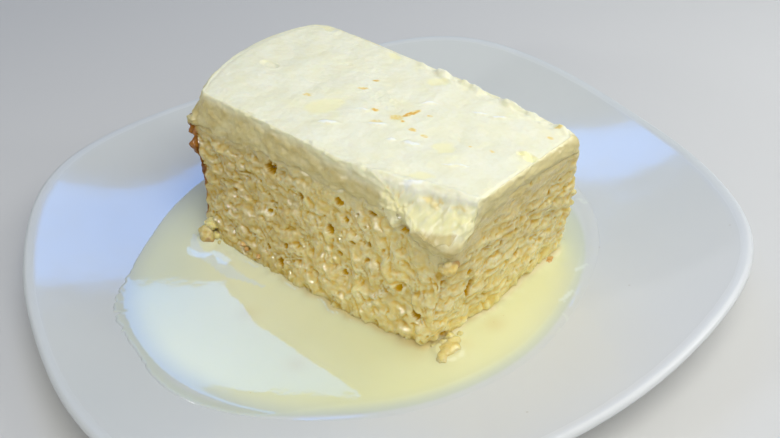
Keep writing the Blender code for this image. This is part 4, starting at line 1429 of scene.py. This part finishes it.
def crumb(name, place, half, salt, material, base=BASE_HEIGHT, browned=None, rag=1.0, low=1.0, painted_shade=0.0):
    """A torn wet lump on the plate's floor or at a base height, browned towards one direction if given."""
    bm = bmesh.new()
    bmesh.ops.create_icosphere(bm, subdivisions=6, radius=1.0)
    points = np.array([v.co for v in bm.verts])
    p = points * np.array(half) * 1000
    lump = 1 + 0.24 * grain(points, 0.85, salt) + 0.10 * rag * (knobs(p, 1.9, salt + 1) - 0.6)
    lump = lump + 0.04 * rag * grain(p, 0.7, salt + 2)
    q = points * lump[:, None]
    height = base + half[2] * (0.45 + low * q[:, 2])
    placed = in_plate(place[0] + q[:, 0] * half[0], place[1] + q[:, 1] * half[1], height)
    placed[:, 2] = np.maximum(placed[:, 2], plate_surface(placed[:, 0], placed[:, 1]) + 0.0001)
    for vert, co in zip(bm.verts, placed):
        vert.co = co
    mesh = bpy.data.meshes.new(name)
    bm.to_mesh(mesh)
    bm.free()
    mesh.materials.append(material)
    mesh.shade_smooth()
    obj = put(name, mesh)
    # Darker spots, painted as shade in small pits
    mark(obj, "pit", 0.25 * ease(-grain(p, 1.5, salt + 1) * 2))
    mark(obj, "smear", 0.3 * ease(grain(p, 2.2, salt + 5)))
    mark(obj, "knob", ease(0.95 + 2.0 * (lump - 1)))
    mark(obj, "wet", np.full(len(points), 0.8))
    # Painted shade, darkening the whole crumb as far as given
    mark(obj, "painted_shade", np.full(len(points), painted_shade))
    if browned:
        stain = points @ np.array(browned) - 0.25 + 0.5 * grain(p, 1.8, salt + 7)
        mark(obj, "crust", 0.6 * ease(stain / 0.35))
    return obj


def bits_rule(name, material, seed):
    """Puts a small torn lump on every point, as large as the point's size says."""
    rule = Rule(name)
    seed = rule.size("Seed", seed, "NodeSocketInt")
    rag = rule.size("Raggedness", 1.2)
    shape = rule.size("Shape", (1.0, 0.85, 0.75), "NodeSocketVector")
    ball = rule.step("GeometryNodeMeshIcoSphere", Radius=1.0, Subdivisions=4).outputs[0]
    turn = rule.random((-0.5, -0.5, 0.0), (0.5, 0.5, math.tau), seed, "FLOAT_VECTOR")
    wide = rule.step("ShaderNodeVectorMath", {"operation": "SCALE"}, n0=shape)
    rule.feed(wide.inputs["Scale"], rule.read("size"))
    placed = rule.step(
        "GeometryNodeInstanceOnPoints",
        Points=rule.start.outputs["Geometry"],
        Instance=ball,
        Rotation=turn,
        Scale=wide.outputs[0],
    ).outputs[0]
    whole = rule.step("GeometryNodeRealizeInstances", Geometry=placed).outputs[0]
    noise = rule.step("ShaderNodeTexNoise", Scale=620.0, Detail=2.0).outputs[0]
    reach = rule.times(rag, rule.read("size"))
    push = rule.times(rule.maths("SUBTRACT", noise, 0.5), reach)
    normal = rule.step("GeometryNodeInputNormal").outputs[0]
    off = rule.step("ShaderNodeVectorMath", {"operation": "SCALE"}, n0=normal)
    rule.feed(off.inputs["Scale"], push)
    torn = rule.step("GeometryNodeSetPosition", Geometry=whole, Offset=off.outputs[0]).outputs[0]
    for key, value in (("knob", 0.75), ("wet", 0.9)):
        torn = rule.step("GeometryNodeStoreNamedAttribute", Geometry=torn, Name=key, Value=value).outputs[0]
    rule.finished(torn, material)
    return rule


def make_bits(name, places, material, seed):
    along, across, height, size = np.array(places).T
    points = helper("bit places", in_plate(along, across, height))
    mark(points, "size", size)
    bits = bits_rule(name.replace("_", " "), material, seed).made_from(points, name)
    bpy.data.objects.remove(points, do_unlink=True)
    return bits


# Camera and light


def direction(azimuth, elevation):
    az, el = math.radians(azimuth), math.radians(elevation)
    return Vector((math.cos(az) * math.cos(el), math.sin(az) * math.cos(el), math.sin(el)))


def add_camera():
    roll = math.radians(CAMERA_ROLL)
    back = direction(CAMERA_AZIMUTH, CAMERA_ELEVATION)
    right = (-back).cross(Vector((0, 0, 1))).normalized()
    up = right.cross(-back)
    x = right * math.cos(roll) + up * math.sin(roll)
    y = up * math.cos(roll) - right * math.sin(roll)
    camera = put("camera", bpy.data.cameras.new("camera"))
    camera.data.lens = CAMERA_LENS
    camera.data.sensor_width = CAMERA_FILM
    camera.data.clip_start = 0.01
    place = Vector(CAMERA_AIM) + back * CAMERA_DISTANCE
    camera.matrix_world = Matrix([[x[i], y[i], back[i], place[i]] for i in range(3)] + [[0, 0, 0, 1]])
    bpy.context.scene.camera = camera


def add_light(name, azimuth, elevation, distance, width, height, colour, radiance):
    """A soft rectangular light, level across, facing the plate."""
    data = bpy.data.lights.new(name, "AREA")
    data.shape = "RECTANGLE"
    data.size, data.size_y = width, height
    data.color = colour
    data.energy = radiance * math.pi * width * height
    light = put(name, data)
    towards = direction(azimuth, elevation)
    light.rotation_euler = (-towards).to_track_quat("-Z", "Y").to_euler()
    light.location = towards * distance
    light.visible_camera = False
    return light


def add_lights():
    window = add_light("window", *WINDOW)
    window.location += direction(WINDOW[0] + 90, 0.0) * WINDOW_ASIDE + Vector((0, 0, WINDOW_UP))
    for name, values in LIGHTS.items():
        add_light(name, *values)
    for name, values in GLINTS.items():
        add_light(name, *values).visible_diffuse = False
    world = bpy.data.worlds.new("soft studio")
    world.use_nodes = True
    background = world.node_tree.nodes["Background"]
    background.inputs["Color"].default_value = SKY_COLOUR
    background.inputs["Strength"].default_value = SKY_STRENGTH
    bpy.context.scene.world = world


def add_floor(material):
    outline = [(-4, -4, 0), (4, -4, 0), (4, 4, 0), (-4, 4, 0)]
    floor = piece("studio_floor", outline, [[0, 1, 2, 3]], material)


def main():
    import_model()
    bpy.context.scene.view_settings.view_transform = "Standard"
    add_camera()
    add_lights()
    add_floor(pale_floor())
    wet, browned = soaked_crumb(), browned_crumb()
    at_side = crumb("crumb_at_side", *SIDE_CRUMB, 211, wet, browned=(0.6, -0.4, -0.5), rag=0.5, painted_shade=0.9)
    plate, milk = make_plate(glazed_white()), make_milk(sweet_milk())
    sponge, cream = make_sponge(wet), make_cream(whipped_cream())
    at_corner = crumb("crumb_at_corner", *FRONT_CRUMB, 201, wet, rag=1.1, low=0.75, painted_shade=0.4)
    chip = crumb("chip_at_corner", *CHIP, 221, wet, CHIP_HEIGHT, (0.35, 0.8, 0.1), painted_shade=0.9)
    pieces = [
        (plate, "plate", "plate"),
        (milk, "milk", "milk"),
        (sponge, "sponge", "sponge"),
        (cream, "cream", "cream"),
        (at_corner, "crumb", "front_crumb"),
        (at_side, "crumb", "side_crumb"),
        (chip, "crumb", None),
        (crumb("browned_bit", *FAR_BIT, 231, browned), "crumb", None),
        (make_bits("wet_bits", WET_BITS, wet, 5), "crumb", None),
        (make_bits("browned_bits", BROWNED_BITS, browned, 9), "crumb", None),
    ]
    for obj, slot, node in pieces:
        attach(obj, "root")
        if node:
            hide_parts(node)


main()
